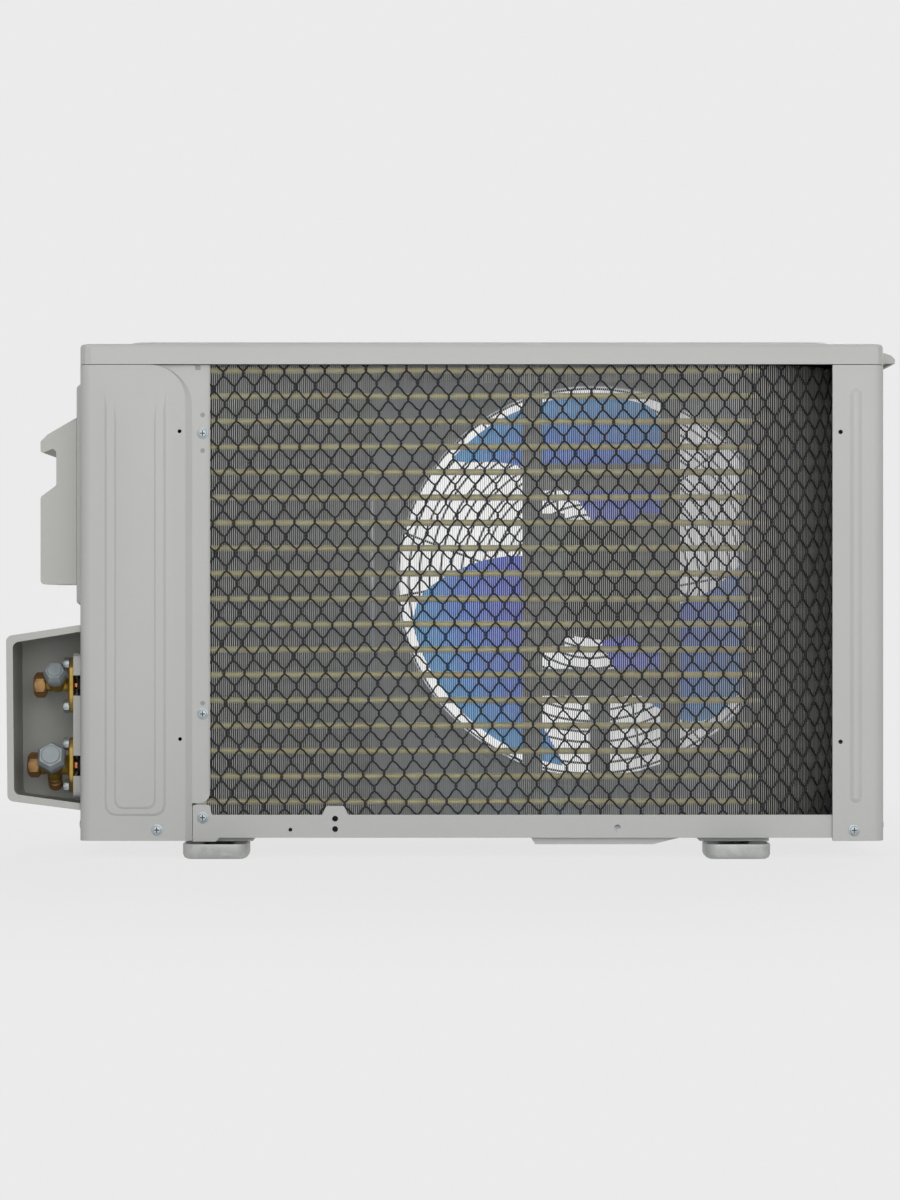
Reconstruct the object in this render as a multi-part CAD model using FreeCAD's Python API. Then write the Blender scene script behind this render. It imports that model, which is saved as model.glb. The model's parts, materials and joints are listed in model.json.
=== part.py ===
"""Outdoor unit of a split air conditioner, built of separate pieces.

Millimetres. The origin is the centre of the four foot slots, on the floor. +X runs along the
cabinet from the valves to the coil's bend, +Y is the way the air is blown, and +Z is up.
"""
import FreeCAD
import Part
import math
import os

V = FreeCAD.Vector
X_AXIS = V(1, 0, 0)
Y_AXIS = V(0, 1, 0)
Z_AXIS = V(0, 0, 1)

# Cabinet
cabinet_width = 683.3
cabinet_depth = 257.0
cabinet_height = 435.5
cabinet_shift = 4.65
corner_radius = 10.0
sheet = 0.8
seam = 0.4
skirt_height = 17.5
panel_lift = 1.1

# Feet with their slots for the wall brackets
foot_pitch_x = 440.0
foot_pitch_y = 286.0
foot_width = 55.0
foot_neck = 30.0
foot_lobe = 40.0
foot_over = 13.0
foot_height = 12.5
foot_sheet = 2.0
foot_corner = 9.0
foot_edge = 4.0
slot_width = 10.0
slot_length = 18.0

# Base pan
pan_sheet = 1.0
pan_lift = 3.5
pan_rim = 19.6
sink = 3.5
tab_height = 28.0
tab_width = 17.0
trough_depth = 5.8
drain_radius = 10.0
pilot_radius = 2.6

# Top cover
field_rise = 2.2
edge_roll = 3.0
field_margin_x = 36.5
field_margin_y = 9.0

# Valve-side panel: a raised face with a rounded corner beside a sunk flange
flange_edge_in = 110.7
flange_width = 15.0
step_run = 5.6
step_radius = 30.0
pad_rise = 1.2
pad_inset = 21.5
pad_width = 52.0
return_depth = 16.0

# Coil-side panel
strip_width = 44.1
rib_rise = 1.5
rib_width = 10.4
rib_inset = 29.5
vent_rows = 12
vent_height = 19.0
vent_pitch = 28.5
vent_length = 62.0
vent_bar = 14.0

# Coil
tube_rows = 18
tube_radius = 3.5
tube_sides = 6
top_row = 22.1
fin_depth = 13.4
fin_sheet = 0.4
fin_pitch = 12.0
fin_over_top = 10.8
fin_over_bottom = 12.6
bend_outer = 90.0
bend_start_in = 122.8
side_leg = 115.0
bend_facets = 3
turn_facets = 4
end_plate = 1.2
coil_left_in = 100.0
coil_foot = 30.2
tube_overhang = 12.0

# Guard net
net_strand = 1.2
net_width = 1.5
net_pitch_x = 17.3
net_pitch_z = 21.6
net_air = 0.5
net_gap = 0.3

# Fan, its mouth and the wire guard
fan_in = 238.8
fan_share = 0.5405
mouth_radius = 178.3
mouth_curve = 11.0
mouth_depth = 32.0
mouth_sides = 40
fan_radius = 168.0
hub_radius = 44.0
hub_length = 52.0
hub_wall = 3.0
hub_back = 26.0
hub_sides = 30
hub_round = 6.0
boss_radius = 10.0
blade_count = 3
blade_sheet = 2.6
shaft_radius = 4.0
shaft_fit = 0.05
wire = 2.2
ring_pitch = 9.7
guard_disc = 42.0
guard_stand = 5.0
spoke_count = 12
spoke_lean = 25.0

# Motor and its bracket
motor_radius = 52.0
motor_length = 70.0
motor_sides = 24
ear_spread = 45.0
bracket_sheet = 1.2
rail_width = 17.0
rail_depth = 12.0
rail_spread = 118.4
plate_height = 23.3
plate_spread = 200.0
bracket_back = 8.0

# Compressor
compressor_in = 137.0
compressor_y = 36.0
compressor_radius = 56.0
compressor_height = 226.0
compressor_sides = 24
mount_height = 14.0
mount_radius = 13.0
mount_circle = 72.0
accumulator_radius = 25.0
accumulator_height = 150.0
stud_radius = 3.0
partition_x = -92.0

# Service valves
valve_y = -75.0
liquid_share = 0.332
gas_share = 0.1736
flange_thick = 4.6
flange_height = 47.4
flange_wide = 24.0
bolt_spread = 36.6
liquid_pipe_radius = 3.25
gas_pipe_radius = 4.85
liquid_reach = 19.4
gas_reach = 24.7
boss_share = 0.565
liquid_waist = 5.2
gas_waist = 7.9
liquid_tilt = 30.0
gas_tilt = 22.0
port_lean = 42.0
hex_liquid = 17.5
hex_gas = 23.0
hex_nut = 19.0
cap_length = 13.0
cap_face = 1.2
stem_boss = 13.0
port_boss = 13.6
core_radius = 1.6
spigot_length = 6.5
nut_length = 9.8
nut_nose = 1.0
bolt_hex = 10.0
bolt_head = 5.4
bolt_radius = 3.0
bracket_rise = 9.0
running_fit = 0.06

# Plastic and sheet pieces on the valve side
hood_reach = 63.8
hood_over = 52.2
hood_under = 36.7
hood_sheet = 1.5
hood_lip = 5.7
hood_depth = 102.0
hood_back_in = 13.5
cover_wall = 2.2
cover_length = 128.0
cover_back_in = 30.0
cover_height = 143.0
cover_reach = 30.8
access_rise = 4.9
access_slope = 4.0
handle_reach = 17.7
handle_length = 112.0

# Wiring behind the access plate
plate_in = 12.0
capacitor_radius = 20.0
capacitor_height = 68.0
capacitor_rise = 54.0
strap_height = 12.0

# Screws
head_radius = 5.4
head_height = 2.2
screw_radius = 2.0
screw_fit = 0.1
shank_sides = 6
round_sides = 8
corner_chords = 3

# Places that follow from the values above
left = cabinet_shift - cabinet_width / 2
right = cabinet_shift + cabinet_width / 2
rear = -cabinet_depth / 2
front = cabinet_depth / 2
panel_bottom = foot_height + panel_lift
skirt_bottom = cabinet_height - skirt_height
panel_top = skirt_bottom - seam
pan_floor = foot_height + pan_lift
pan_top = pan_floor + pan_sheet
rim_top = pan_floor + pan_rim
rim_plane = rear + sink
foot_length = foot_pitch_y + 2 * foot_over
front_face = front - sheet - seam
fan_x = right - fan_in
fan_z = cabinet_height * fan_share
liquid_z = cabinet_height * liquid_share
gas_z = cabinet_height * gas_share
compressor_x = left + compressor_in
flange_edge = left + flange_edge_in
recess_edge = flange_edge - flange_width
raise_edge = recess_edge - step_run
strip_edge = right - strip_width
coil_face = rim_plane + sheet + net_air + 2 * net_strand + net_gap
coil_mid = coil_face + fin_depth / 2
coil_inner = coil_face + fin_depth
coil_left = left + coil_left_in
bend_x = right - bend_start_in
bend_y = coil_face + bend_outer
bend_mid = bend_outer - fin_depth / 2
coil_end_y = bend_y + side_leg
top_row_z = cabinet_height - top_row
row_pitch = (top_row_z - pan_floor - coil_foot) / (tube_rows - 1)
last_row_z = pan_floor + coil_foot
fin_top = top_row_z + fin_over_top
fin_bottom = last_row_z - fin_over_bottom
motor_back = coil_inner + bracket_back + rail_depth
motor_front = motor_back + motor_length
shaft_end = hub_back + hub_length + 12.0
wiring_y0 = rear + 48.0
wiring_y1 = wiring_y0 + 76.0
hood_top = liquid_z + hood_over
hood_low = gas_z - hood_under
access_low = hood_top + 15.0
cover_low = access_low + 19.5
wiring_z0 = cover_low + 14.7
wiring_z1 = wiring_z0 + 90.0

# Screws as (seat, way out, length under the seat, head radius)
back_way = V(0, -1, 0)
left_way = V(-1, 0, 0)
hood_back = rear + hood_back_in
hood_screws_z = [hood_top + 6.0, hood_low - 6.0]
tab_screw_z = pan_floor + 17.2
flange_screw_x = flange_edge - 6.2
flange_screws_z = [foot_height + 108.8, panel_top - 58.0]
cover_inner = left - 0.6 - access_rise
cover_back = rear + cover_back_in
cabinet_screws = [(V(flange_screw_x, rim_plane, z), back_way, 3.6, head_radius) for z in flange_screws_z]
cabinet_screws += [(V(left + 65.9, rear, pan_floor + 6.9), back_way, 8.0, head_radius),
                   (V(flange_screw_x, rim_plane, tab_screw_z), back_way, 3.6, head_radius),
                   (V(right - 25.8, rear, pan_floor + 6.6), back_way, 8.0, head_radius),
                   (V(right, rear + 26.0, pan_floor + 10.0), X_AXIS, 5.0, head_radius),
                   (V(left, rear + 26.0, pan_floor + 10.0), left_way, 5.0, head_radius),
                   (V(right, front - 40.0, pan_floor + 10.0), X_AXIS, 5.0, head_radius)]
hood_screw_list = [(V(left - 0.3 - hood_sheet, hood_back + 45, z), left_way, 4.5, 4.2)
                   for z in hood_screws_z]
cover_screw_list = [(V(cover_inner - 2.5, cover_back + 53, cover_low - 6), left_way, 10.0, 3.8)]
side_screws = cabinet_screws + hood_screw_list + cover_screw_list


# Small makers of common shapes

def block(x0, x1, y0, y1, z0, z1):
    return Part.makeBox(x1 - x0, y1 - y0, z1 - z0, V(x0, y0, z0))


def rod(start, end, radius):
    way = end - start
    return Part.makeCylinder(radius, way.Length, start, way)


def bar(start, end, radius, sides=round_sides):
    """Straight bar with flat sides, for small round pieces that repeat."""
    way = end - start
    length = way.Length
    way.normalize()
    across = way.cross(Z_AXIS if abs(way.z) < 0.9 else X_AXIS)
    across.normalize()
    up = across.cross(way)
    ring = []
    for i in range(sides):
        angle = 2 * math.pi * (i + 0.5) / sides
        ring.append(start + across * (radius * math.cos(angle)) + up * (radius * math.sin(angle)))
    ring.append(ring[0])
    return Part.Face(Part.makePolygon(ring)).extrude(way * length)


def faceted_turning(profile, origin, axis, across, sides=round_sides, ring=False):
    """Flat-sided turning of (radius, distance) corners, closed by end faces or into a ring."""
    side = axis.cross(across)
    rings = []
    for radius, distance in profile:
        circle = []
        for i in range(sides):
            angle = 2 * math.pi * (i + 0.5) / sides
            circle.append(origin + axis * distance + across * (radius * math.cos(angle))
                          + side * (radius * math.sin(angle)))
        rings.append(circle)
    faces = [] if ring else [flat(rings[0]), flat(rings[-1])]
    following = rings[1:] + rings[:1] if ring else rings[1:]
    for first, second in zip(rings, following):
        for i in range(sides):
            j = (i + 1) % sides
            faces.append(flat([first[i], first[j], second[j], second[i]]))
    return closed_solid(faces)


def on_z(z):
    return lambda u, v: V(u, v, z)


def on_y(y):
    return lambda u, v: V(u, y, v)


def on_x(x):
    return lambda u, v: V(x, u, v)


def arc_points(centre, start, finish, steps):
    """Points from start to finish on the arc about the centre, both ends included."""
    first_arm = start - centre
    last_arm = finish - centre
    sweep = first_arm.getAngle(last_arm)
    points = []
    for step in range(steps + 1):
        share = step / steps
        first = math.sin((1 - share) * sweep) / math.sin(sweep)
        last = math.sin(share * sweep) / math.sin(sweep)
        points.append(centre + first_arm * first + last_arm * last)
    return points


def outline(corners, place):
    """Closed wire through corners (u, v), (u, v, radius) with a tangent arc, or
    (u, v, radius, chords) with that many chords in the arc's place."""
    edges = []
    ends = []
    count = len(corners)
    for i in range(count):
        u, v = corners[i][0], corners[i][1]
        radius = corners[i][2] if len(corners[i]) > 2 else 0.0
        here = place(u, v)
        if radius <= 0:
            ends.append([here])
            continue
        before = place(corners[i - 1][0], corners[i - 1][1]) - here
        after = place(corners[(i + 1) % count][0], corners[(i + 1) % count][1]) - here
        before.normalize()
        after.normalize()
        half = before.getAngle(after) / 2
        cut = radius / math.tan(half)
        middle = before + after
        middle.normalize()
        centre = here + middle * (radius / math.sin(half))
        chords = corners[i][3] if len(corners[i]) > 3 else 0
        ends.append(arc_points(centre, here + before * cut, here + after * cut, chords or 2))
        if not chords:
            edges.append(Part.Arc(*ends[-1]).toShape())
            ends[-1] = [ends[-1][0], ends[-1][2]]
        else:
            edges += [Part.LineSegment(a, b).toShape() for a, b in zip(ends[-1][:-1], ends[-1][1:])]
    for i in range(count):
        end = ends[i][-1]
        following = ends[(i + 1) % count][0]
        if end.distanceToPoint(following) > 1e-6:
            edges.append(Part.LineSegment(end, following).toShape())
    return Part.Wire(Part.__sortEdges__(edges))


def plate(corners, place, way):
    return Part.Face(outline(corners, place)).extrude(way)


def rectangle(u0, u1, v0, v1, radius=0.0, chords=corner_chords):
    return [(u0, v0, radius, chords), (u1, v0, radius, chords), (u1, v1, radius, chords),
            (u0, v1, radius, chords)]


def frustum(base, top, base_place, top_place):
    return Part.makeLoft([outline(base, base_place), outline(top, top_place)], True, True)


def moved(shape, x, y, z):
    copy = shape.copy()
    copy.translate(V(x, y, z))
    return copy


def turned(shape, about, axis, degrees):
    copy = shape.copy()
    copy.rotate(about, axis, degrees)
    return copy


def fused(shapes):
    return shapes[0].multiFuse(shapes[1:]).removeSplitter()


def group(shapes):
    return Part.makeCompound(shapes)


def hexagon(across_flats, start, way, length, first_corner):
    """Hexagonal bar from start along way, with one corner towards first_corner."""
    side = first_corner.cross(way)
    side.normalize()
    up = way.cross(side)
    up.normalize()
    reach = across_flats / math.sqrt(3)
    ring = []
    for i in range(6):
        angle = math.radians(60 * i)
        ring.append(start + up * (reach * math.cos(angle)) + side * (reach * math.sin(angle)))
    ring.append(ring[0])
    run = V(way)
    run.normalize()
    return Part.Face(Part.makePolygon(ring)).extrude(run * length)


def closed_solid(faces):
    return Part.makeSolid(Part.makeShell(faces))


def flat(points):
    return Part.Face(Part.makePolygon(points + [points[0]]))


def bent_bar(path, radius, sides=tube_sides):
    """Tube of flat sides along a path of points, mitred at each point."""
    count = len(path)
    ways = [(path[i + 1] - path[i]) for i in range(count - 1)]
    for way in ways:
        way.normalize()
    helper = Z_AXIS if abs(ways[0].z) < 0.9 else X_AXIS
    across = ways[0].cross(helper)
    across.normalize()
    up = across.cross(ways[0])
    ring = []
    for i in range(sides):
        angle = 2 * math.pi * (i + 0.5) / sides
        ring.append(path[0] + across * (radius * math.cos(angle)) + up * (radius * math.sin(angle)))
    rings = [ring]
    for i in range(1, count):
        way = ways[i - 1]
        normal = way if i == count - 1 else way + ways[i]
        fresh = []
        for point in rings[-1]:
            run = (path[i] - point).dot(normal) / way.dot(normal)
            fresh.append(point + way * run)
        rings.append(fresh)
    faces = [flat(rings[0]), flat(rings[-1])]
    for first, second in zip(rings[:-1], rings[1:]):
        for i in range(sides):
            j = (i + 1) % sides
            faces.append(flat([first[i], first[j], second[j], second[i]]))
    return closed_solid(faces)


def rounded_path(points, radius, steps):
    """Points of a polyline whose corners are rounded by a few short chords."""
    path = [points[0]]
    for before, here, after in zip(points[:-2], points[1:-1], points[2:]):
        back = before - here
        ahead = after - here
        reach = min(back.Length, ahead.Length) * 0.48
        back.normalize()
        ahead.normalize()
        half = back.getAngle(ahead) / 2
        cut = min(radius / math.tan(half), reach)
        bend = cut * math.tan(half)
        middle = back + ahead
        middle.normalize()
        centre = here + middle * (bend / math.sin(half))
        path += arc_points(centre, here + back * cut, here + ahead * cut, steps)
    path.append(points[-1])
    return path


def screw(place, way, length, radius=head_radius):
    """Washer-headed screw: place is the middle of its seat, way points out of the panel."""
    head = bar(place, place + way * head_height, radius)
    shank = bar(place - way * length, place, screw_radius, shank_sides)
    return head.fuse(shank)


def screw_holes(screws):
    """Clearance holes along a list of (place, way, length, head radius)."""
    return Part.makeCompound([bar(place - way * (length + 1), place + way * 3, screw_radius + screw_fit,
                                  shank_sides) for place, way, length, radius in screws])


def pressed(body, way):
    """Sheet of even thickness under the outer surface of a body, measured along way."""
    return body.cut(moved(body, way.x * sheet, way.y * sheet, way.z * sheet))


# Feet and base pan

def foot_outline(centre_x, inset):
    """Plan of a foot: a wide rounded pad at each end and a narrower rail between them."""
    wide = foot_width / 2 - inset
    neck = foot_neck / 2 - inset
    end = foot_length / 2 - inset
    turn = inset * math.tan(math.radians(22.5))
    shoulder = foot_length / 2 - foot_lobe + turn
    waist = shoulder - (wide - neck)
    radius = foot_corner - inset
    right_side = [(wide, -end, radius, corner_chords), (wide, -shoulder), (neck, -waist), (neck, waist),
                  (wide, shoulder), (wide, end, radius, corner_chords)]
    corners = right_side + [(-corner[0],) + corner[1:] for corner in reversed(right_side)]
    return [(centre_x + corner[0],) + corner[1:] for corner in corners]


def layered(layers, corners_at):
    """Solid through outlines drawn in by an inset at each height."""
    wires = [outline(corners_at(inset), on_z(z)) for z, inset in layers]
    return Part.makeLoft(wires, True, True)


def foot(centre_x):
    """Pressed tray with a rolled bottom edge and a slot for the bracket's bolt at each end."""
    corners_at = lambda inset: foot_outline(centre_x, inset)
    roll = foot_edge * 0.3
    outer = layered([(0, foot_edge), (roll, roll), (foot_edge, 0), (foot_height, 0)], corners_at)
    inner = layered([(foot_sheet, foot_edge + foot_sheet / 2), (foot_edge + foot_sheet / 2, foot_sheet),
                     (foot_height + 1, foot_sheet)], corners_at)
    tray = outer.cut(inner)
    for side in (-1, 1):
        y = side * foot_pitch_y / 2
        reach = slot_length / 2
        round_end = slot_width / 2
        slot = plate(rectangle(centre_x - reach, centre_x + reach, y - round_end, y + round_end,
                               round_end - 0.001, 0), on_z(-1), V(0, 0, foot_sheet + 2))
        tray = tray.cut(slot)
    return tray


def base_pan():
    x0 = left + sheet + seam
    x1 = right - sheet - seam
    y1 = front_face - sheet - seam
    bend = corner_radius - sheet
    outer = plate(rectangle(x0, x1, rim_plane, y1, bend), on_z(pan_floor), V(0, 0, pan_rim))
    inner = plate(rectangle(x0 + pan_sheet, x1 - pan_sheet, rim_plane + pan_sheet, y1 - pan_sheet,
                            bend - pan_sheet), on_z(pan_top), V(0, 0, pan_rim))
    pads_out = []
    pads_in = []
    half = foot_width / 2 + 2.0
    for side in (-1, 1):
        x = side * foot_pitch_x / 2
        near = rim_plane + 12.0
        far = y1 - 12.0
        pads_out.append(block(x - half, x + half, near, far, foot_height, pan_top))
        pads_in.append(block(x - half + pan_sheet, x + half - pan_sheet, near + pan_sheet,
                             far - pan_sheet, foot_height + pan_sheet, pan_top + 1))
    trough_low = pan_floor - trough_depth
    trough = [(46.0, pan_top), (50.0, trough_low), (150.0, trough_low), (178.0, pan_top)]
    inside = [(46.0 + pan_sheet, pan_top + 1), (50.0 + pan_sheet, trough_low + pan_sheet),
              (150.0 - pan_sheet, trough_low + pan_sheet), (178.0 - pan_sheet, pan_top + 1)]
    trough_near = rim_plane + 5.0
    trough_far = coil_inner + bracket_back - 3.0
    pads_out.append(plate(trough, on_y(trough_near), V(0, trough_far - trough_near, 0)))
    pads_in.append(plate(inside, on_y(trough_near + pan_sheet),
                         V(0, trough_far - trough_near - 2 * pan_sheet, 0)))
    # Screw tabs that stand up from the rear rim
    tab_low = [(recess_edge + seam, foot_height + 0.3), (flange_edge + 5, foot_height + 0.3),
               (flange_edge + 9, pan_floor + 1), (flange_edge + 9, rim_top - 1.5),
               (flange_edge + 1.5, rim_top, 2.0), (flange_edge, pan_floor + tab_height, 2.5),
               (recess_edge + seam, pan_floor + tab_height, 1.5)]
    tabs = [plate(tab_low, on_y(rim_plane), V(0, pan_sheet, 0))]
    tabs.append(plate([(tab_x - tab_width / 2 - 3, rim_top - 1), (tab_x + tab_width / 2 + 3, rim_top - 1),
                       (tab_x + tab_width / 2 - 1, pan_floor + tab_height - 1, 2.0),
                       (tab_x - tab_width / 2 + 1, pan_floor + tab_height - 1, 2.0)],
                      on_y(rim_plane), V(0, pan_sheet, 0)))
    pan = outer.multiFuse(pads_out + tabs)
    pan = pan.cut(inner).cut(Part.makeCompound(pads_in))
    pan = pan.cut(block(raise_edge - 1.5, recess_edge + seam, rim_plane - 1, rim_plane + pan_sheet + 0.5,
                        pan_floor - 1, pan_top + 40))
    holes = [rod(V(drain_x, drain_y, 0), V(drain_x, drain_y, pan_top + 5), drain_radius)]
    for x, z, radius in rim_holes:
        holes.append(bar(V(x, rim_plane - 2, z), V(x, rim_plane + 4, z), radius))
    for x, y in stud_places:
        holes.append(bar(V(x, y, pan_floor - 8), V(x, y, pan_top + 2), stud_radius + screw_fit))
    return pan.cut(Part.makeCompound(holes)).cut(screw_holes(cabinet_screws + hood_screw_list))


tab_x = left + 217.0
drain_x = 100.0
drain_y = motor_back + 30.0
rim_holes = [(tab_x, tab_screw_z - 1.0, pilot_radius), (tab_x, tab_screw_z - 9.8, pilot_radius),
             (left + 179.0, pan_floor + 6.9, 1.7), (left + 457.0, pan_floor + 8.4, 3.0)]


def spots_on_circle(x, y, radius, count, first):
    spots = []
    for i in range(count):
        angle = math.radians(first + 360 * i / count)
        spots.append((x + radius * math.cos(angle), y + radius * math.sin(angle)))
    return spots


stud_places = spots_on_circle(compressor_x, compressor_y, mount_circle, 3, 20)


# Cabinet panels

def lid_outline(inset):
    return rectangle(left + inset, right - inset, rear + inset, front - inset, corner_radius - inset)


def top_cover():
    """Lid with a rolled upper edge and a raised field, open below."""
    step = edge_roll * 0.3
    top = cabinet_height
    outer = layered([(skirt_bottom, 0), (top - edge_roll, 0), (top - step, step), (top, edge_roll)],
                    lid_outline)
    top = cabinet_height - sheet
    inner = layered([(skirt_bottom - 1, sheet), (top - edge_roll, sheet), (top, sheet + edge_roll * 0.7)],
                    lid_outline)
    slope = field_rise + 3.0
    low = rectangle(left + field_margin_x, right - field_margin_x, rear + field_margin_y,
                    front - field_margin_y, 22.0)
    high = rectangle(left + field_margin_x + slope, right - field_margin_x - slope,
                     rear + field_margin_y + slope, front - field_margin_y - slope, 18.0)
    field = frustum(low, high, on_z(cabinet_height - sheet / 2), on_z(cabinet_height + field_rise))
    under = moved(field, 0, 0, -sheet)
    body = outer.fuse(field).cut(inner.fuse(under))
    return body.removeSplitter()


def panel_corner(x, y, side_x, side_y):
    """Quarter bend of sheet around the centre of the corner's radius."""
    ring = Part.makeCylinder(corner_radius, panel_top - panel_bottom, V(x, y, panel_bottom))
    ring = ring.cut(Part.makeCylinder(corner_radius - sheet, panel_top, V(x, y, 0)))
    reach = corner_radius + 1
    quarter = block(min(x, x + side_x * reach), max(x, x + side_x * reach),
                    min(y, y + side_y * reach), max(y, y + side_y * reach), 0, cabinet_height)
    return ring.common(quarter)


def valve_side_panel():
    inner_x = left + corner_radius
    high = [(inner_x, panel_bottom), (raise_edge, panel_bottom), (raise_edge, panel_top, step_radius),
            (inner_x, panel_top)]
    low = [(inner_x, panel_bottom), (recess_edge, panel_bottom),
           (recess_edge, panel_top, step_radius + step_run), (inner_x, panel_top)]
    body = frustum(low, high, on_y(rim_plane), on_y(rear))
    body = body.fuse(block(inner_x, flange_edge, rim_plane, rim_plane + 6, panel_bottom, panel_top))
    first = frustum(rectangle(pad_left, pad_left + pad_width, pad_bottom, panel_top - 14, 9.0),
                    rectangle(pad_left + 2, pad_left + pad_width - 2, pad_bottom + 2, panel_top - 30, 8.0),
                    on_y(rear + 0.01), on_y(rear - pad_rise))
    second = frustum(rectangle(pad_left + 8.4, pad_left + pad_width - 8.4, pad_bottom + 6, panel_top - 26, 7.0),
                     rectangle(pad_left + 10, pad_left + pad_width - 10, pad_bottom + 8, panel_top - 42, 6.0),
                     on_y(rear - pad_rise + 0.01), on_y(rear - 2 * pad_rise + 0.2))
    body = body.fuse(first).fuse(second)
    face = pressed(body, Y_AXIS)
    face = face.common(block(inner_x, flange_edge, rear - 5, rim_plane + sheet, panel_bottom, panel_top))
    flange_bottom = pan_floor + tab_height + 1.4
    notch = block(recess_edge, flange_edge + 1, rim_plane - 0.5, rim_plane + 3, 0, flange_bottom)
    corner = block(flange_edge - 9, flange_edge + 1, rim_plane - 1, rim_plane + 3,
                   flange_bottom - 1, flange_bottom + 9)
    corner = corner.cut(rod(V(flange_edge - 9, rim_plane - 2, flange_bottom + 9),
                            V(flange_edge - 9, rim_plane + 4, flange_bottom + 9), 9.0))
    lip = block(flange_edge - sheet, flange_edge, rim_plane - 1.2, rim_plane + sheet / 2,
                flange_bottom + 9, panel_top)
    side = block(left, left + sheet, rear + corner_radius, front - return_depth - seam,
                 panel_bottom, panel_top)
    panel = face.cut(notch).cut(corner)
    panel = fused([panel, lip, panel_corner(inner_x, rear + corner_radius, -1, -1), side])
    holes = []
    for x, z, radius in panel_holes:
        holes.append(bar(V(x, rear - 3, z), V(x, rim_plane + 4, z), radius))
    holes.append(block(flange_edge - 12.2, flange_edge - 8.0, rim_plane - 2, rim_plane + 3,
                       panel_top - 4.2, panel_top + 1))
    holes.append(block(left - 1, left + 2, wiring_y0, wiring_y1, wiring_z0, wiring_z1))
    holes.append(block(left - 1, left + 2, valve_y - 15, valve_y + 15, gas_z - 19, liquid_z + 19))
    return panel.cut(Part.makeCompound(holes)).cut(screw_holes(side_screws))


pad_left = left + pad_inset
pad_bottom = panel_bottom + 21.0
panel_holes = [(raise_edge - 5.0, panel_top - 56.4, 1.7), (raise_edge - 4.5, foot_height + 87.5, 1.7),
               (flange_screw_x, flange_screws_z[1] + 15.5, 2.1),
               (flange_screw_x, flange_screws_z[1] - 14.8, 2.1),
               (flange_screw_x, flange_screws_z[0] + 9.0, 2.1)]


def coil_side_panel():
    inner_x = right - corner_radius
    body = block(strip_edge, inner_x, rear, rear + 6, panel_bottom, panel_top)
    rib_left = right - rib_inset
    rib = frustum(rectangle(rib_left, rib_left + rib_width, panel_bottom + 32, panel_top - 20, 5.0),
                  rectangle(rib_left + 3.3, rib_left + rib_width - 3.3, panel_bottom + 35.5,
                            panel_top - 23.5, 1.8), on_y(rear + 0.01), on_y(rear - rib_rise))
    face = pressed(body.fuse(rib), Y_AXIS)
    face = face.common(block(strip_edge, inner_x, rear - 5, rear + sheet, panel_bottom, panel_top))
    lip = block(strip_edge, strip_edge + sheet, rear + sheet / 2, rim_plane - 0.3, panel_bottom, panel_top)
    side = block(right - sheet, right, rear + corner_radius, front - return_depth - seam,
                 panel_bottom, panel_top)
    vents = []
    middle = (bend_y + rear + corner_radius) / 2 + 10
    top = panel_top - 30
    for row in range(vent_rows):
        z = top - row * vent_pitch
        for column in (-1, 1):
            y = middle + column * (vent_length + vent_bar) / 2
            low_y = y - vent_length / 2
            high_y = y + vent_length / 2
            vents.append(block(right - 3, right + 3, low_y, high_y, z - vent_height, z))
    side = side.cut(Part.makeCompound(vents))
    panel = fused([face, lip, panel_corner(inner_x, rear + corner_radius, 1, -1), side])
    holes = []
    for z in (panel_top - 57.0, foot_height + 85.2):
        holes.append(bar(V(strip_edge + 6.8, rear - 3, z), V(strip_edge + 6.8, rear + 3, z), 1.9))
    return panel.cut(Part.makeCompound(holes)).cut(screw_holes(cabinet_screws))


def front_panel():
    """Front with the fan's drawn mouth; its top edge runs up behind the cover's skirt."""
    back = front - return_depth
    outer = plate([(left, back), (left, front_face, corner_radius), (right, front_face, corner_radius),
                   (right, back)], on_z(panel_bottom), V(0, 0, panel_top - panel_bottom))
    inner = plate([(left + sheet, back - 1), (left + sheet, front_face - sheet, corner_radius - sheet),
                   (right - sheet, front_face - sheet, corner_radius - sheet), (right - sheet, back - 1)],
                  on_z(panel_bottom - 1), V(0, 0, panel_top))
    top_edge = block(left + corner_radius + 2, right - corner_radius - 2, front_face - sheet, front_face,
                     panel_top - 1, cabinet_height - 3.0 - seam)
    field = frustum(rectangle(left + 30, fan_x - mouth_radius - 45, panel_bottom + 30, panel_top - 30, 18.0),
                    rectangle(left + 36, fan_x - mouth_radius - 51, panel_bottom + 36, panel_top - 36, 14.0),
                    on_y(front_face - 0.2), on_y(front_face + field_rise))
    panel = outer.fuse(field).cut(inner.fuse(moved(field, 0, -sheet, 0)))
    centre = V(fan_x, 0, fan_z)
    opening = mouth_radius + mouth_curve
    face = front_face
    panel = panel.fuse(top_edge)
    hole = faceted_turning([(opening - 0.2, face - 5), (opening - 0.2, face + 5)], centre, Y_AXIS, X_AXIS,
                           mouth_sides)
    panel = panel.cut(hole)
    slope = mouth_curve * (1 - math.cos(math.radians(45)))
    profile = [(opening, face), (mouth_radius + slope, face - slope), (mouth_radius, face - mouth_curve),
               (mouth_radius, front - mouth_depth), (mouth_radius + sheet, front - mouth_depth),
               (mouth_radius + sheet, face - mouth_curve - 0.3),
               (mouth_radius + slope + 0.6, face - slope - 0.6), (opening, face - sheet)]
    mouth = faceted_turning(profile, centre, Y_AXIS, X_AXIS, mouth_sides, ring=True)
    return fused([panel, mouth]).cut(screw_holes(guard_screw_list))


# Fan guard of rings and crossing spokes

def wire_ring(radius, y0, y1, width, sides):
    """Ring of three-sided wire."""
    profile = [(radius - width / 2, y0), (radius + width / 2, y0), (radius, y1)]
    return faceted_turning(profile, V(fan_x, 0, fan_z), Y_AXIS, X_AXIS, sides, ring=True)


guard_back = front + guard_stand
guard_mid = guard_back + wire
guard_face = guard_mid + wire
guard_outer = mouth_radius + 15.0


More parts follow.
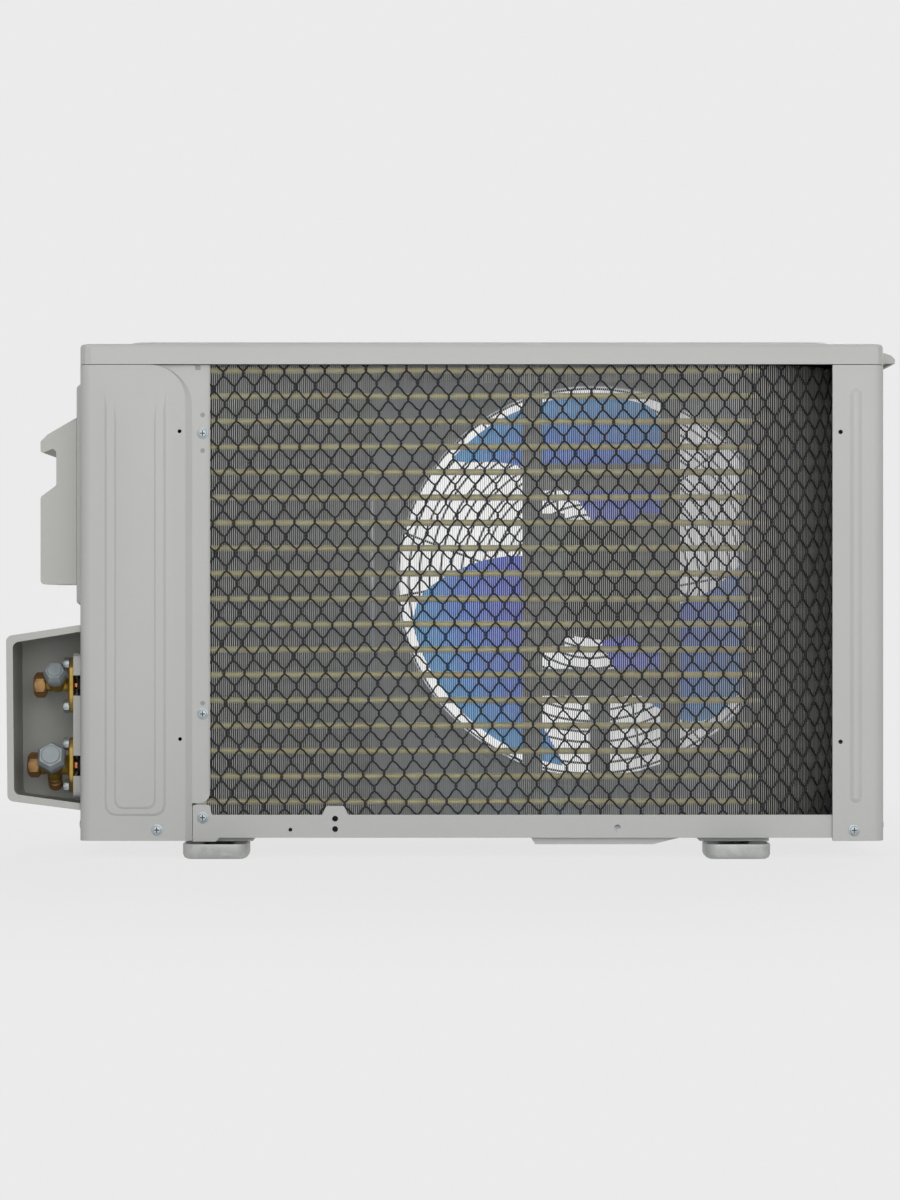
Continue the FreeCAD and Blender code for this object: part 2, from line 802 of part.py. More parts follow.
def fan_guard():
    pieces = []
    radius = guard_disc + ring_pitch
    while radius < guard_outer - ring_pitch / 2:
        pieces.append(wire_ring(radius, guard_mid, guard_face, wire, 16 + round(radius / 24)))
        radius += ring_pitch
    pieces.append(wire_ring(guard_outer, guard_mid, guard_face, 2 * wire, 28))
    disc = []
    for i in range(20):
        angle = 2 * math.pi * i / 20
        disc.append((fan_x + guard_disc * math.cos(angle), fan_z + guard_disc * math.sin(angle)))
    pieces.append(plate(disc, on_y(guard_mid), V(0, wire, 0)))
    inner = guard_disc - 4.0
    for i in range(spoke_count):
        lean = spoke_lean if i % 2 else -spoke_lean
        angle = math.radians(360 * i / spoke_count + 10)
        start = V(fan_x + inner * math.cos(angle), guard_back, fan_z + inner * math.sin(angle))
        far = angle + math.radians(lean)
        end = V(fan_x + guard_outer * math.cos(far), guard_back, fan_z + guard_outer * math.sin(far))
        way = end - start
        side = way.cross(Y_AXIS)
        side.normalize()
        side = side * (wire / 2)
        pieces.append(Part.Face(Part.makePolygon([start - side, end - side, end + side, start + side,
                                                  start - side])).extrude(V(0, wire, 0)))
    for place, way, length, radius in guard_screw_list:
        pad = block(fan_x + guard_outer - wire, fan_x + guard_outer + 15, front_face, guard_mid,
                    fan_z - 6, fan_z + 6)
        angle = math.degrees(math.atan2(place.z - fan_z, place.x - fan_x))
        pieces.append(turned(pad, V(fan_x, 0, fan_z), Y_AXIS, -angle))
    return group(pieces).cut(screw_holes(guard_screw_list))


def guard_screw_places():
    places = []
    for quarter in (45, 135, 225, 315):
        reach = guard_outer + 8.0
        place = V(fan_x + reach * math.cos(math.radians(quarter)), guard_mid,
                  fan_z + reach * math.sin(math.radians(quarter)))
        places.append((place, Y_AXIS, 9.0, 4.0))
    return places


guard_screw_list = guard_screw_places()


# Coil with its fins, tubes and bends

def coil_frame(run):
    """Point of the coil's middle line and its direction, at a distance from the left end."""
    straight = bend_x - coil_left
    arc = bend_mid * math.pi / 2
    if run <= straight:
        return V(coil_left + run, coil_mid, 0), X_AXIS
    if run <= straight + arc:
        angle = (run - straight) / bend_mid
        place = V(bend_x + bend_mid * math.sin(angle), bend_y - bend_mid * math.cos(angle), 0)
        return place, V(math.cos(angle), math.sin(angle), 0)
    return V(bend_x + bend_mid, bend_y + run - straight - arc, 0), Y_AXIS


coil_length = bend_x - coil_left + bend_mid * math.pi / 2 + side_leg


def coil_fins():
    fins = []
    count = int((coil_length - 2 * fin_pitch) / fin_pitch)
    first = (coil_length - count * fin_pitch) / 2
    for i in range(count + 1):
        place, way = coil_frame(first + i * fin_pitch)
        fin = block(-fin_sheet / 2, fin_sheet / 2, -fin_depth / 2, fin_depth / 2, fin_bottom, fin_top)
        fin.rotate(V(0, 0, 0), Z_AXIS, math.degrees(math.atan2(way.y, way.x)))
        fin.translate(place)
        fins.append(fin)
    return group(fins)


def tube_run(z, overhang_left, overhang_far):
    path = [V(coil_left - overhang_left, coil_mid, z)]
    for i in range(bend_facets + 1):
        angle = math.pi / 2 * i / bend_facets
        path.append(V(bend_x + bend_mid * math.sin(angle), bend_y - bend_mid * math.cos(angle), z))
    path.append(V(bend_x + bend_mid, coil_end_y + overhang_far, z))
    return path


def coil_tubes():
    """Hairpins: each is two rows with the bend that joins them past the far end."""
    pins = []
    for i in range(0, tube_rows, 2):
        upper = tube_run(top_row_z - i * row_pitch, tube_overhang, end_plate + 1)
        lower = tube_run(top_row_z - (i + 1) * row_pitch, tube_overhang, end_plate + 1)
        turn = []
        for step in range(1, turn_facets):
            angle = math.pi * step / turn_facets
            turn.append(V(bend_x + bend_mid, coil_end_y + end_plate + 1 + row_pitch / 2 * math.sin(angle),
                          (upper[-1].z + lower[-1].z) / 2 + row_pitch / 2 * math.cos(angle)))
        pins.append(bent_bar(upper + turn + list(reversed(lower)), tube_radius))
    return group(pins)


def return_bends():
    """Bends brazed on the hairpins' open ends, with the two free ends left for the pipes."""
    bends = []
    x = coil_left - tube_overhang
    for i in range(1, tube_rows - 1, 2):
        z = top_row_z - (i + 0.5) * row_pitch
        path = [V(x, coil_mid, z + row_pitch / 2)]
        for step in range(1, turn_facets):
            angle = math.pi * step / turn_facets
            path.append(V(x - 1 - row_pitch / 2 * math.sin(angle), coil_mid,
                          z + row_pitch / 2 * math.cos(angle)))
        path.insert(1, V(x - 1, coil_mid, z + row_pitch / 2))
        path.append(V(x - 1, coil_mid, z - row_pitch / 2))
        path.append(V(x, coil_mid, z - row_pitch / 2))
        bends.append(bent_bar(path, tube_radius))
    return group(bends)


def coil_end_plates():
    fold = rim_plane + pan_sheet + 0.3
    near = block(coil_left - end_plate, coil_left, fold, coil_inner + 10, pan_top, fin_top)
    near = near.fuse(block(coil_left - end_plate, flange_edge - 2.8, fold, fold + end_plate, pan_top, fin_top))
    near = near.cut(screw_holes(cabinet_screws))
    far = block(bend_x + bend_mid - fin_depth / 2 - 6, bend_x + bend_mid + fin_depth / 2 - 1,
                coil_end_y, coil_end_y + end_plate, pan_top, fin_top)
    return group([near, far])


# Guard net of two layers of crossing strands

def net_path(offset):
    """Corners of the net seen from above, its folds outside the coil's bend."""
    radius = bend_outer + net_gap + offset
    half = math.pi / 4 / bend_facets
    corners = [V(net_left, coil_face - net_gap - offset, 0)]
    for i in range(bend_facets):
        angle = half * (2 * i + 1)
        corners.append(V(bend_x + radius / math.cos(half) * math.sin(angle),
                         bend_y - radius / math.cos(half) * math.cos(angle), 0))
    corners.append(V(bend_x + radius, coil_end_y - 2.0, 0))
    return corners


net_left = flange_edge - 2.4
net_base = net_path(0.0)
net_stations = [0.0]
for corner, following in zip(net_base[:-1], net_base[1:]):
    net_stations.append(net_stations[-1] + corner.distanceToPoint(following))
net_run = net_stations[-1]


def net_place(run, offset, z):
    """Point on the folded net at a distance along its back; offset is measured outwards."""
    corners = net_path(offset)
    index = 0
    while index < bend_facets and run > net_stations[index + 1]:
        index += 1
    share = (run - net_stations[index]) / (net_stations[index + 1] - net_stations[index])
    place = corners[index] * (1 - share) + corners[index + 1] * share
    return V(place.x, place.y, z)


net_bottom = rim_top - 3.0
net_top = skirt_bottom + 5.0


def net_strand_solid(start_run, start_z, end_run, end_z, offset):
    slope = (end_z - start_z) / (end_run - start_run)
    half = net_width / 2 * math.sqrt(1 + slope * slope)
    stops = [start_run] + [f for f in net_stations if start_run + 0.2 < f < end_run - 0.2] + [end_run]
    rings = []
    for run in stops:
        z = start_z + slope * (run - start_run)
        rings.append([net_place(run, offset, z - half), net_place(run, offset + net_strand, z),
                      net_place(run, offset, z + half)])
    faces = [flat(rings[0]), flat(rings[-1])]
    for first, second in zip(rings[:-1], rings[1:]):
        for i in range(3):
            j = (i + 1) % 3
            faces.append(flat([first[i], first[j], second[j]]))
            faces.append(flat([first[i], second[j], second[i]]))
    return closed_solid(faces)


def guard_net():
    strands = []
    slope = net_pitch_z / net_pitch_x
    height = net_top - net_bottom
    shift = height / slope
    count = int((net_run + shift) / net_pitch_x) + 1
    phase = (top_row_z + row_pitch / 2 - net_bottom) % net_pitch_z
    for layer, way in ((0, 1), (1, -1)):
        for i in range(count):
            low_run = -shift + (i + 0.5) * net_pitch_x + phase / slope
            start = max(low_run, 0.0)
            end = min(low_run + shift, net_run)
            if end - start < 6.0:
                continue
            z0 = (start - low_run) * slope
            z1 = (end - low_run) * slope
            if way > 0:
                strands.append(net_strand_solid(start, net_bottom + z0, end, net_bottom + z1,
                                                layer * net_strand))
            else:
                strands.append(net_strand_solid(start, net_top - z0, end, net_top - z1,
                                                layer * net_strand))
    return group(strands)


# Fan, motor and bracket

def blade_edges(radius):
    """Angles in degrees of the two edges of the first blade at a radius, and its axial depth."""
    first = 154.5 + 0.267 * (radius - 45.0)
    second = 210.4 + 0.426 * (radius - 45.0)
    tip = max(0.0, (radius - fan_radius * 0.9) / (fan_radius * 0.1))
    depth = 38.0 + 0.30 * (radius - 45.0)
    return first + 5.0 * tip * tip, second - 3.0 * tip * tip, depth


def fan_blade(turn):
    radii = [hub_radius - 1.5 + (fan_radius - hub_radius + 1.5) * i / 5 for i in range(6)]
    grid = []
    for radius in radii:
        first, second, depth = blade_edges(radius)
        row = []
        for j in range(7):
            share = j / 6
            angle = math.radians(first + (second - first) * share + turn)
            y = hub_back + 4 + 0.9 * depth * (1 - share) + 0.1 * depth * math.sin(math.pi * share)
            row.append(V(fan_x + radius * math.cos(angle), y, fan_z + radius * math.sin(angle)))
        grid.append(row)
    return faceted_sheet(grid, V(0, blade_sheet, 0))


def faceted_sheet(grid, thick):
    """Thin solid between a grid of points and the same grid moved by its thickness."""
    back = [[point + thick for point in row] for row in grid]
    faces = []
    rows = len(grid)
    columns = len(grid[0])
    for surface in (grid, back):
        for i in range(rows - 1):
            for j in range(columns - 1):
                faces.append(flat([surface[i][j], surface[i][j + 1], surface[i + 1][j + 1]]))
                faces.append(flat([surface[i][j], surface[i + 1][j + 1], surface[i + 1][j]]))
    rim = [(0, j) for j in range(columns)] + [(i, columns - 1) for i in range(1, rows)]
    rim += [(rows - 1, j) for j in range(columns - 2, -1, -1)] + [(i, 0) for i in range(rows - 2, 0, -1)]
    for (a, b), (c, d) in zip(rim, rim[1:] + rim[:1]):
        faces.append(flat([grid[a][b], grid[c][d], back[c][d], back[a][b]]))
    return closed_solid(faces)


def fan():
    """Hub open at the back with a boss and six ribs inside, and the swept blades."""
    centre = V(fan_x, 0, fan_z)
    end = hub_back + hub_length
    cone = hub_round * 0.3
    shell = faceted_turning([(hub_radius, hub_back), (hub_radius, end - hub_round),
                             (hub_radius - cone, end - cone), (hub_radius - hub_round, end)],
                            centre, Y_AXIS, X_AXIS, hub_sides)
    inside = hub_radius - hub_wall
    hollow = faceted_turning([(inside, hub_back - 1), (inside, end - hub_wall)], centre, Y_AXIS, X_AXIS,
                             hub_sides)
    boss = bar(V(fan_x, hub_back + 8, fan_z), V(fan_x, end - hub_wall / 2, fan_z), boss_radius, 16)
    ribs = []
    for i in range(6):
        rib = block(fan_x + boss_radius - 1, fan_x + inside + 0.5, hub_back + 8, end - hub_wall / 2,
                    fan_z - 1, fan_z + 1)
        ribs.append(turned(rib, centre, Y_AXIS, 60 * i))
    blades = [fan_blade(360 * i / blade_count) for i in range(blade_count)]
    body = shell.cut(hollow).multiFuse([boss] + ribs + blades)
    return body.cut(rod(V(fan_x, hub_back, fan_z), V(fan_x, end + 1, fan_z), shaft_radius + 0.001))


def motor_shaft():
    collar = bar(V(fan_x, motor_front + 6, fan_z), V(fan_x, motor_front + 9, fan_z), shaft_radius + 2, 16)
    shaft = bar(V(fan_x, motor_back + 12, fan_z), V(fan_x, shaft_end, fan_z), shaft_radius, 16)
    return fused([shaft, collar])


def fan_nut():
    start = V(fan_x, hub_back + hub_length, fan_z)
    nut = hexagon(13.0, start, Y_AXIS, 7.0, Z_AXIS)
    return nut.cut(bar(start - Y_AXIS, start + Y_AXIS * 9, shaft_radius, 16))


def fan_motor():
    centre = V(fan_x, 0, fan_z)
    bore = shaft_radius + shaft_fit
    inner_end = motor_back + 11.7
    profile = [(22, motor_back), (motor_radius, motor_back + 12), (motor_radius, motor_front - 12),
               (motor_radius - 6, motor_front - 6), (18, motor_front - 6), (18, motor_front)]
    body = faceted_turning(profile, centre, Y_AXIS, X_AXIS, motor_sides)
    ears = []
    for x, z in motor_ears:
        ear = block(x - 9, x + 9, motor_back, motor_back + 4, z - 9, z + 9)
        ears.append(ear)
        inner_x = fan_x + (x - fan_x) * 0.62
        inner_z = fan_z + (z - fan_z) * 0.62
        arm = block(min(x, inner_x) - 5, max(x, inner_x) + 5, motor_back + 1, motor_back + 12,
                    min(z, inner_z) - 5, max(z, inner_z) + 5)
        ears.append(arm)
    body = body.multiFuse(ears).removeSplitter()
    holes = [bar(V(x, motor_back - 1, z), V(x, motor_back + 14, z), screw_radius + screw_fit)
             for x, z in motor_ears]
    holes.append(rod(V(fan_x, inner_end, fan_z), V(fan_x, motor_front + 1, fan_z), bore))
    return body.cut(Part.makeCompound(holes))


motor_ears = [(fan_x + sx * ear_spread, fan_z + sz * ear_spread) for sx in (-1, 1) for sz in (-1, 1)]


def motor_bracket():
    """Two full rails and a short middle one, joined by an upper and a lower plate."""
    back = coil_inner + bracket_back
    plane = motor_back - bracket_sheet
    top = fin_top + 0.3
    pieces = []
    plates = [(fan_z + plate_spread / 2 - plate_height, fan_z + plate_spread / 2),
              (fan_z - plate_spread / 2 + 0.3, fan_z - plate_spread / 2 + 0.3 + plate_height)]
    rails = [(fan_x - rail_spread / 2, top), (fan_x + rail_spread / 2, top), (fan_x - 1.5, plates[1][0] + 2)]
    for x, rail_top in rails:
        x0 = x - rail_width / 2
        x1 = x + rail_width / 2
        channel = block(x0, x1, back, motor_back, pan_top, rail_top)
        channel = channel.cut(block(x0 + bracket_sheet, x1 - bracket_sheet, back - 1, plane,
                                    pan_top - 1, rail_top + 1))
        pieces.append(channel)
        pieces.append(block(x0, x1, back, motor_back + 10, pan_top, pan_top + bracket_sheet))
    for z0, z1 in plates:
        pieces.append(block(fan_x - rail_spread / 2, fan_x + rail_spread / 2, plane, motor_back, z0, z1))
    hook_back = coil_face + 2
    pieces.append(block(fan_x - rail_spread / 2 - rail_width / 2, fan_x + rail_spread / 2 + rail_width / 2,
                        hook_back, motor_back, top, top + bracket_sheet))
    for side in (-1, 1):
        x = fan_x + side * (ear_spread + 2)
        pieces.append(block(x - 16, x + 16, plane, motor_back, fan_z - ear_spread - 12,
                            fan_z + ear_spread + 12))
    body = fused(pieces)
    centre_hole = rod(V(fan_x, plane - 1, fan_z), V(fan_x, motor_back + 1, fan_z), 30.0)
    holes = [bar(V(x, back - 1, z), V(x, motor_back + 1, z), screw_radius + screw_fit)
             for x, z in motor_ears]
    return body.cut(Part.makeCompound([centre_hole] + holes))


def motor_screws():
    screws = []
    for x, z in motor_ears:
        head = hexagon(7.0, V(x, motor_back + 12, z), Y_AXIS, 3.5, Z_AXIS)
        shank = bar(V(x, motor_back - 8, z), V(x, motor_back + 12, z), screw_radius)
        screws.append(head.fuse(shank))
    return group(screws)


# Partition, compressor and pipes

def partition_plate():
    bend_at = (partition_x, -38.0)
    near = coil_left - end_plate - pan_sheet - 0.3
    path = [(near, coil_inner - 3.0), (near, coil_inner + 14.0), bend_at,
            (partition_x, front_face - sheet - pan_sheet - 0.8)]
    outer = path + [(path[-1][0] + pan_sheet, path[-1][1]), (bend_at[0] + pan_sheet, bend_at[1] - 0.6),
                    (path[1][0] + pan_sheet, path[1][1] - 0.6), (path[0][0] + pan_sheet, path[0][1])]
    return plate(outer, on_z(pan_top), V(0, 0, fin_top - pan_top))


def compressor():
    base = pan_top + mount_height - 4.0
    centre = V(compressor_x, compressor_y, 0)
    r = compressor_radius
    low = base + 3.0
    high = base + compressor_height
    profile = [(r * 0.62, low), (r * 0.9, low + 9), (r, low + 24), (r, high - 30), (r * 0.9, high - 12),
               (r * 0.58, high)]
    shell = faceted_turning(profile, centre, Z_AXIS, X_AXIS, compressor_sides)
    corners = [(x + (x - compressor_x) * 0.16, y + (y - compressor_y) * 0.16, mount_radius + 1)
               for x, y in stud_places]
    base_plate = plate(corners, on_z(base), V(0, 0, 3.5))
    holes = [bar(V(x, y, base - 5), V(x, y, base + 12), mount_radius - 4.4) for x, y in stud_places]
    stub = bar(V(discharge_x, compressor_y, high - 16), V(discharge_x, compressor_y, high + 4), 5.0)
    body = fused([shell, base_plate, stub])
    return body.cut(Part.makeCompound(holes))


discharge_x = compressor_x + compressor_radius * 0.72


def compressor_mounts():
    base = pan_top + mount_height - 4.0
    mounts = []
    for x, y in stud_places:
        profile = [(mount_radius, pan_top), (mount_radius - 2, base), (mount_radius - 5.05, base),
                   (mount_radius - 5.05, pan_top + mount_height)]
        mount = faceted_turning(profile, V(x, y, 0), Z_AXIS, X_AXIS)
        hole = bar(V(x, y, pan_top - 1), V(x, y, pan_top + mount_height + 1), stud_radius + 0.1)
        mounts.append(mount.cut(hole))
    return group(mounts)


def mount_studs():
    studs = []
    for x, y in stud_places:
        top = pan_top + mount_height
        shank = bar(V(x, y, pan_top - 4.0), V(x, y, top + 12), stud_radius)
        nut = hexagon(10.0, V(x, y, top + 0.3), Z_AXIS, 6.0, X_AXIS)
        studs.append(shank.fuse(nut))
    return group(studs)


accumulator_gap = compressor_radius + accumulator_radius + 7.0
accumulator_x = compressor_x - accumulator_gap * math.cos(math.radians(22))
accumulator_y = compressor_y - accumulator_gap * math.sin(math.radians(22))
accumulator_low = pan_top + 60.0


def accumulator():
    r = accumulator_radius
    top = accumulator_low + accumulator_height
    profile = [(r * 0.5, accumulator_low), (r, accumulator_low + 14), (r, top - 18), (r * 0.45, top)]
    can = faceted_turning(profile, V(accumulator_x, accumulator_y, 0), Z_AXIS, X_AXIS, 20)
    toward = V(compressor_x - accumulator_x, compressor_y - accumulator_y, 0)
    gap = toward.Length - compressor_radius
    toward.normalize()
    z = accumulator_low + accumulator_height * 0.6
    start = V(accumulator_x, accumulator_y, z) + toward * (r - 2)
    end = V(accumulator_x, accumulator_y, z) + toward * (gap - 0.3)
    strap = hexagon(12.0, start, toward, (end - start).Length, Z_AXIS)
    return fused([can, strap])


def terminal_cover():
    top = pan_top + mount_height - 4.0 + compressor_height
    x0, x1 = compressor_x - 26, compressor_x + 26
    y0, y1 = compressor_y - 22, compressor_y + 22
    cut = 9.0
    body = plate([(x0 + cut, y0), (x1 - cut, y0), (x1, y0 + cut), (x1, y1 - cut), (x1 - cut, y1),
                  (x0 + cut, y1), (x0, y1 - cut), (x0, y0 + cut)], on_z(top + 0.3), V(0, 0, 22))
    stud = bar(V(compressor_x, compressor_y, top + 22), V(compressor_x, compressor_y, top + 30), 3.0)
    return body.fuse(stud)


def discharge_pipe():
    """From the compressor's top edge up and over to the coil's first tube."""
    top = pan_top + mount_height - 4.0 + compressor_height
    x = discharge_x
    z_over = top + 58.0
    points = [V(x, compressor_y, top + 4), V(x, compressor_y, z_over), V(x - 40, compressor_y - 56, z_over),
              V(coil_left - 34, coil_mid + 44, z_over), V(coil_left - 34, coil_mid + 44, top_row_z),
              V(coil_left - 34, coil_mid, top_row_z), V(coil_left - tube_overhang, coil_mid, top_row_z)]
    return bent_bar(rounded_path(points, 14.0, 3), tube_radius)


pipe_in_x = left + 47.0
strainer_x = left + 30.0
strainer_y = valve_y + 26.0


def suction_pipe():
    """From the gas valve to the top of the accumulator."""
    top = accumulator_low + accumulator_height
    points = [V(flange_back, valve_y, gas_z), V(pipe_in_x, valve_y, gas_z), V(pipe_in_x, valve_y, top + 30),
              V(accumulator_x, accumulator_y, top + 30), V(accumulator_x, accumulator_y, top)]
    return bent_bar(rounded_path(points, 18.0, 3), gas_pipe_radius)


def liquid_pipe():
    """From the strainer to the liquid valve."""
    points = [V(flange_back, valve_y, liquid_z), V(strainer_x, valve_y, liquid_z),
              V(strainer_x, strainer_y, liquid_z), V(strainer_x, strainer_y, strainer_low)]
    return bent_bar(rounded_path(points, 10.0, 3), liquid_pipe_radius)


strainer_low = liquid_z + 112.0


def strainer():
    low = strainer_low
    profile = [(liquid_pipe_radius, low), (9, low + 12), (9, low + 52), (2.5, low + 64)]
    return faceted_turning(profile, V(strainer_x, strainer_y, 0), Z_AXIS, X_AXIS)


def capillary():
    """Thin tube from the strainer, with one loop, to the coil's last tube."""
    x = strainer_x
    y = strainer_y
    top = strainer_low + 64
    far_x = coil_left - 28
    points = [V(x, y, top), V(x, y, top + 24), V(x + 24, y, top + 24), V(x + 24, y, top - 50),
              V(far_x, coil_mid + 24, top - 50), V(far_x, coil_mid + 24, last_row_z),
              V(far_x, coil_mid, last_row_z), V(coil_left - tube_overhang, coil_mid, last_row_z)]
    return bent_bar(rounded_path(points, 9.0, 3), 2.0, 6)


# Service valves

bracket_face = left - bracket_rise
flange_back = bracket_face
flange_front = bracket_face - flange_thick


def valve_bracket():
    """Hat of sheet steel on the cabinet's side, notched at the back for the two pipes."""
    thick = 1.5
    y0 = valve_y - 17.0
    y1 = valve_y + 25.0
    z0 = gas_z - flange_height / 2 - 4
    z1 = liquid_z + flange_height / 2 + 4
    outer = plate(rectangle(y0, y1, z0, z1, 5.0), on_x(bracket_face), V(bracket_rise, 0, 0))
    inner = plate(rectangle(y0 + thick, y1 - thick, z0 + thick, z1 - thick),
                  on_x(bracket_face + thick), V(bracket_rise, 0, 0))
    hat = outer.cut(inner)
    wings = [block(left - thick, left, y0 + 4, y1 - 4, z0 - 6, z0 + thick),
             block(left - thick, left, y0 + 4, y1 - 4, z1 - thick, z1 + 12)]
    hat = fused([hat] + wings)
    cuts = []
    for z in (liquid_z, gas_z):
        cuts.append(block(bracket_face - 1, left - thick - 0.5, y0 - 1, valve_y, z - 8.7, z + 8.7))
        cuts.append(bar(V(bracket_face - 1, valve_y, z), V(left + 2, valve_y, z), 8.9))
        for side in (-1, 1):
            bolt_z = z + side * bolt_spread / 2
            cuts.append(bar(V(bracket_face - 1, valve_y, bolt_z), V(left, valve_y, bolt_z),
                            bolt_radius + screw_fit))
    return hat.cut(Part.makeCompound(cuts))


def tilt_way(tilt):
    """Way of a stem: out to the coil's side and up by the tilt."""
    return V(0, -math.cos(math.radians(tilt)), math.sin(math.radians(tilt)))


def port_way():
    """Way of the charging port: down, leaning to the blowing side."""
    return V(0, math.sin(math.radians(port_lean)), -math.cos(math.radians(port_lean)))


def valve_body(z, reach, pipe_radius, waist_radius, hex_size, tilt, port):
    """Forged brass body: flange, waist, stem boss, flare spigot and bore."""
    centre = valve_centre(z, reach)
    half_w = flange_wide / 2
    half_h = flange_height / 2
    side = half_h - 9.0
    body = plate([(valve_y - 5, z - half_h), (valve_y + 5, z - half_h), (valve_y + half_w, z - side),
                  (valve_y + half_w, z + side), (valve_y + 5, z + half_h), (valve_y - 5, z + half_h),
                  (valve_y - half_w, z + side), (valve_y - half_w, z - side)],
                 on_x(flange_front), V(flange_thick, 0, 0))
    waist = bar(V(flange_front + 1, valve_y, z), V(flange_front - reach, valve_y, z), waist_radius, 12)
    thread = pipe_radius + 2.3
    tip_x = flange_front - reach - spigot_length
    spigot = faceted_turning([(thread, 1.0), (thread, 3 - spigot_length), (pipe_radius - 0.8, -spigot_length)],
                             V(flange_front - reach, valve_y, z), X_AXIS, Y_AXIS, 16)
    way = tilt_way(tilt)
    boss = bar(centre, centre + way * stem_boss, hex_size * 0.44, 16)
    neck = bar(centre + way * (stem_boss - 1), centre + way * (stem_boss + cap_length - 4), hex_size * 0.35, 16)
    pieces = [body, waist, spigot, boss, neck]
    low = port_way()
    if port:
        pieces.append(bar(centre, centre + low * port_boss, 6.4))
        pieces.append(bar(centre + low * (port_boss - 1), centre + low * (port_boss + 9), 3.9))
    valve = fused(pieces)
    bore = bar(V(tip_x - 5, valve_y, z), V(centre.x, valve_y, z), pipe_radius - 1.4)
    cuts = [bore, rod(centre + way * 6, centre + way * 60, stem_radius(hex_size) + running_fit)]
    for sign in (-1, 1):
        bolt_z = z + sign * bolt_spread / 2
        cuts.append(bar(V(flange_front - 2, valve_y, bolt_z), V(flange_back + 1, valve_y, bolt_z),
                        bolt_radius + screw_fit))
    if port:
        cuts.append(rod(centre + low * 7.5, centre + low * 40, core_radius + running_fit))
    return valve.cut(Part.makeCompound(cuts))


def stem_radius(hex_size):
    return hex_size * 0.2


def valve_centre(z, reach):
    return V(flange_front - reach * boss_share, valve_y, z)


def valve_stem(z, reach, hex_size, tilt):
    """Valve spindle with the hexagonal socket for its key."""
    way = tilt_way(tilt)
    centre = valve_centre(z, reach)
    tip = centre + way * (stem_boss + cap_length - 5)
    stem = bar(centre + way * 7, tip, stem_radius(hex_size), 16)
    socket = hexagon(hex_size * 0.22, tip - way * 4, way, 6.0, X_AXIS)
    return stem.cut(socket)


def valve_cap(z, reach, hex_size, tilt, corner):
    """Hexagonal cap with a raised round face, hollow over the stem."""
    way = tilt_way(tilt)
    centre = valve_centre(z, reach)
    start = centre + way * (stem_boss + 0.3)
    across = corner.cross(way)
    across.normalize()
    reach_out = hex_size / math.sqrt(3)
    cap = faceted_turning([(reach_out, 0), (reach_out, cap_length * 0.62), (reach_out * 0.82, cap_length)],
                          start, way, across, 6)
    face = bar(start + way * (cap_length - 1), start + way * (cap_length + cap_face), hex_size * 0.35, 16)
    cap = cap.fuse(face)
    return cap.cut(bar(start - way, start + way * (cap_length - 3), hex_size * 0.35 + 0.3, 16))


def flare_nut(z, reach, pipe_radius):
    """Nut with a thread bore and a smaller hole for the pipe."""
    start_x = flange_front - reach - 0.5
    way = V(-1, 0, 0)
    nut = hexagon(hex_nut, V(start_x, valve_y, z), way, nut_length, Z_AXIS)
    sleeve = faceted_turning([(hex_nut * 0.47, nut_length - 0.5), (hex_nut * 0.42, nut_length + nut_nose)],
                             V(start_x, valve_y, z), way, Y_AXIS, 16)
    thread_end = start_x - spigot_length - 0.6
    body = nut.fuse(sleeve)
    body = body.cut(bar(V(start_x + 1, valve_y, z), V(thread_end, valve_y, z), pipe_radius + 2.6, 16))
    return body.cut(rod(V(start_x, valve_y, z), V(start_x - 30, valve_y, z), pipe_radius))


def port_core():
    """Pin of the charging valve."""
    low = port_way()
    centre = valve_centre(gas_z, gas_reach)
    return bar(centre + low * 10, centre + low * (port_boss + 8), core_radius)


def port_cap():
    low = port_way()
    centre = valve_centre(gas_z, gas_reach)
    start = centre + low * (port_boss + 0.3)
    cap = bar(start, start + low * 11.5, 6.2).fuse(bar(start + low * 11, start + low * 12.6, 5.2))
    return cap.cut(bar(start - low, start + low * 9.2, 4.3))


def valve_bolts():
    bolts = []
    for z in (liquid_z, gas_z):
        for side in (-1, 1):
            place = V(flange_front, valve_y, z + side * bolt_spread / 2)
            head = hexagon(bolt_hex, place, V(-1, 0, 0), bolt_head, Z_AXIS)
            shank = bar(place, place + V(flange_thick + 6.0, 0, 0), bolt_radius)
            bolts.append(head.fuse(shank))
    return group(bolts)


def pipe_sleeves():
    """Foam sleeves round the two pipes where they enter the cabinet."""
    sleeves = []
    for z, radius, stop in ((liquid_z, liquid_pipe_radius, strainer_x - 13),
                            (gas_z, gas_pipe_radius, pipe_in_x - 20)):
        outer = bar(V(flange_back + 2.5, valve_y, z), V(stop, valve_y, z), 8.2)
        sleeves.append(outer.cut(bar(V(flange_back, valve_y, z), V(stop + 5, valve_y, z), radius + 0.6)))
    return group(sleeves)


# Hood, service cover, access plate and handle

hood_outer_x = left - hood_reach


def hood_corners(inset, wall_x):
    """Corners of the hood's outline, drawn in by an inset, ending on the cabinet's side."""
    far = hood_outer_x + inset
    return [(wall_x, hood_top - inset), (far, hood_top - 9.6 - inset, 5.5),
            (far + 1.2, hood_low + 8.0 + inset, 5.5), (wall_x, hood_low + inset)]


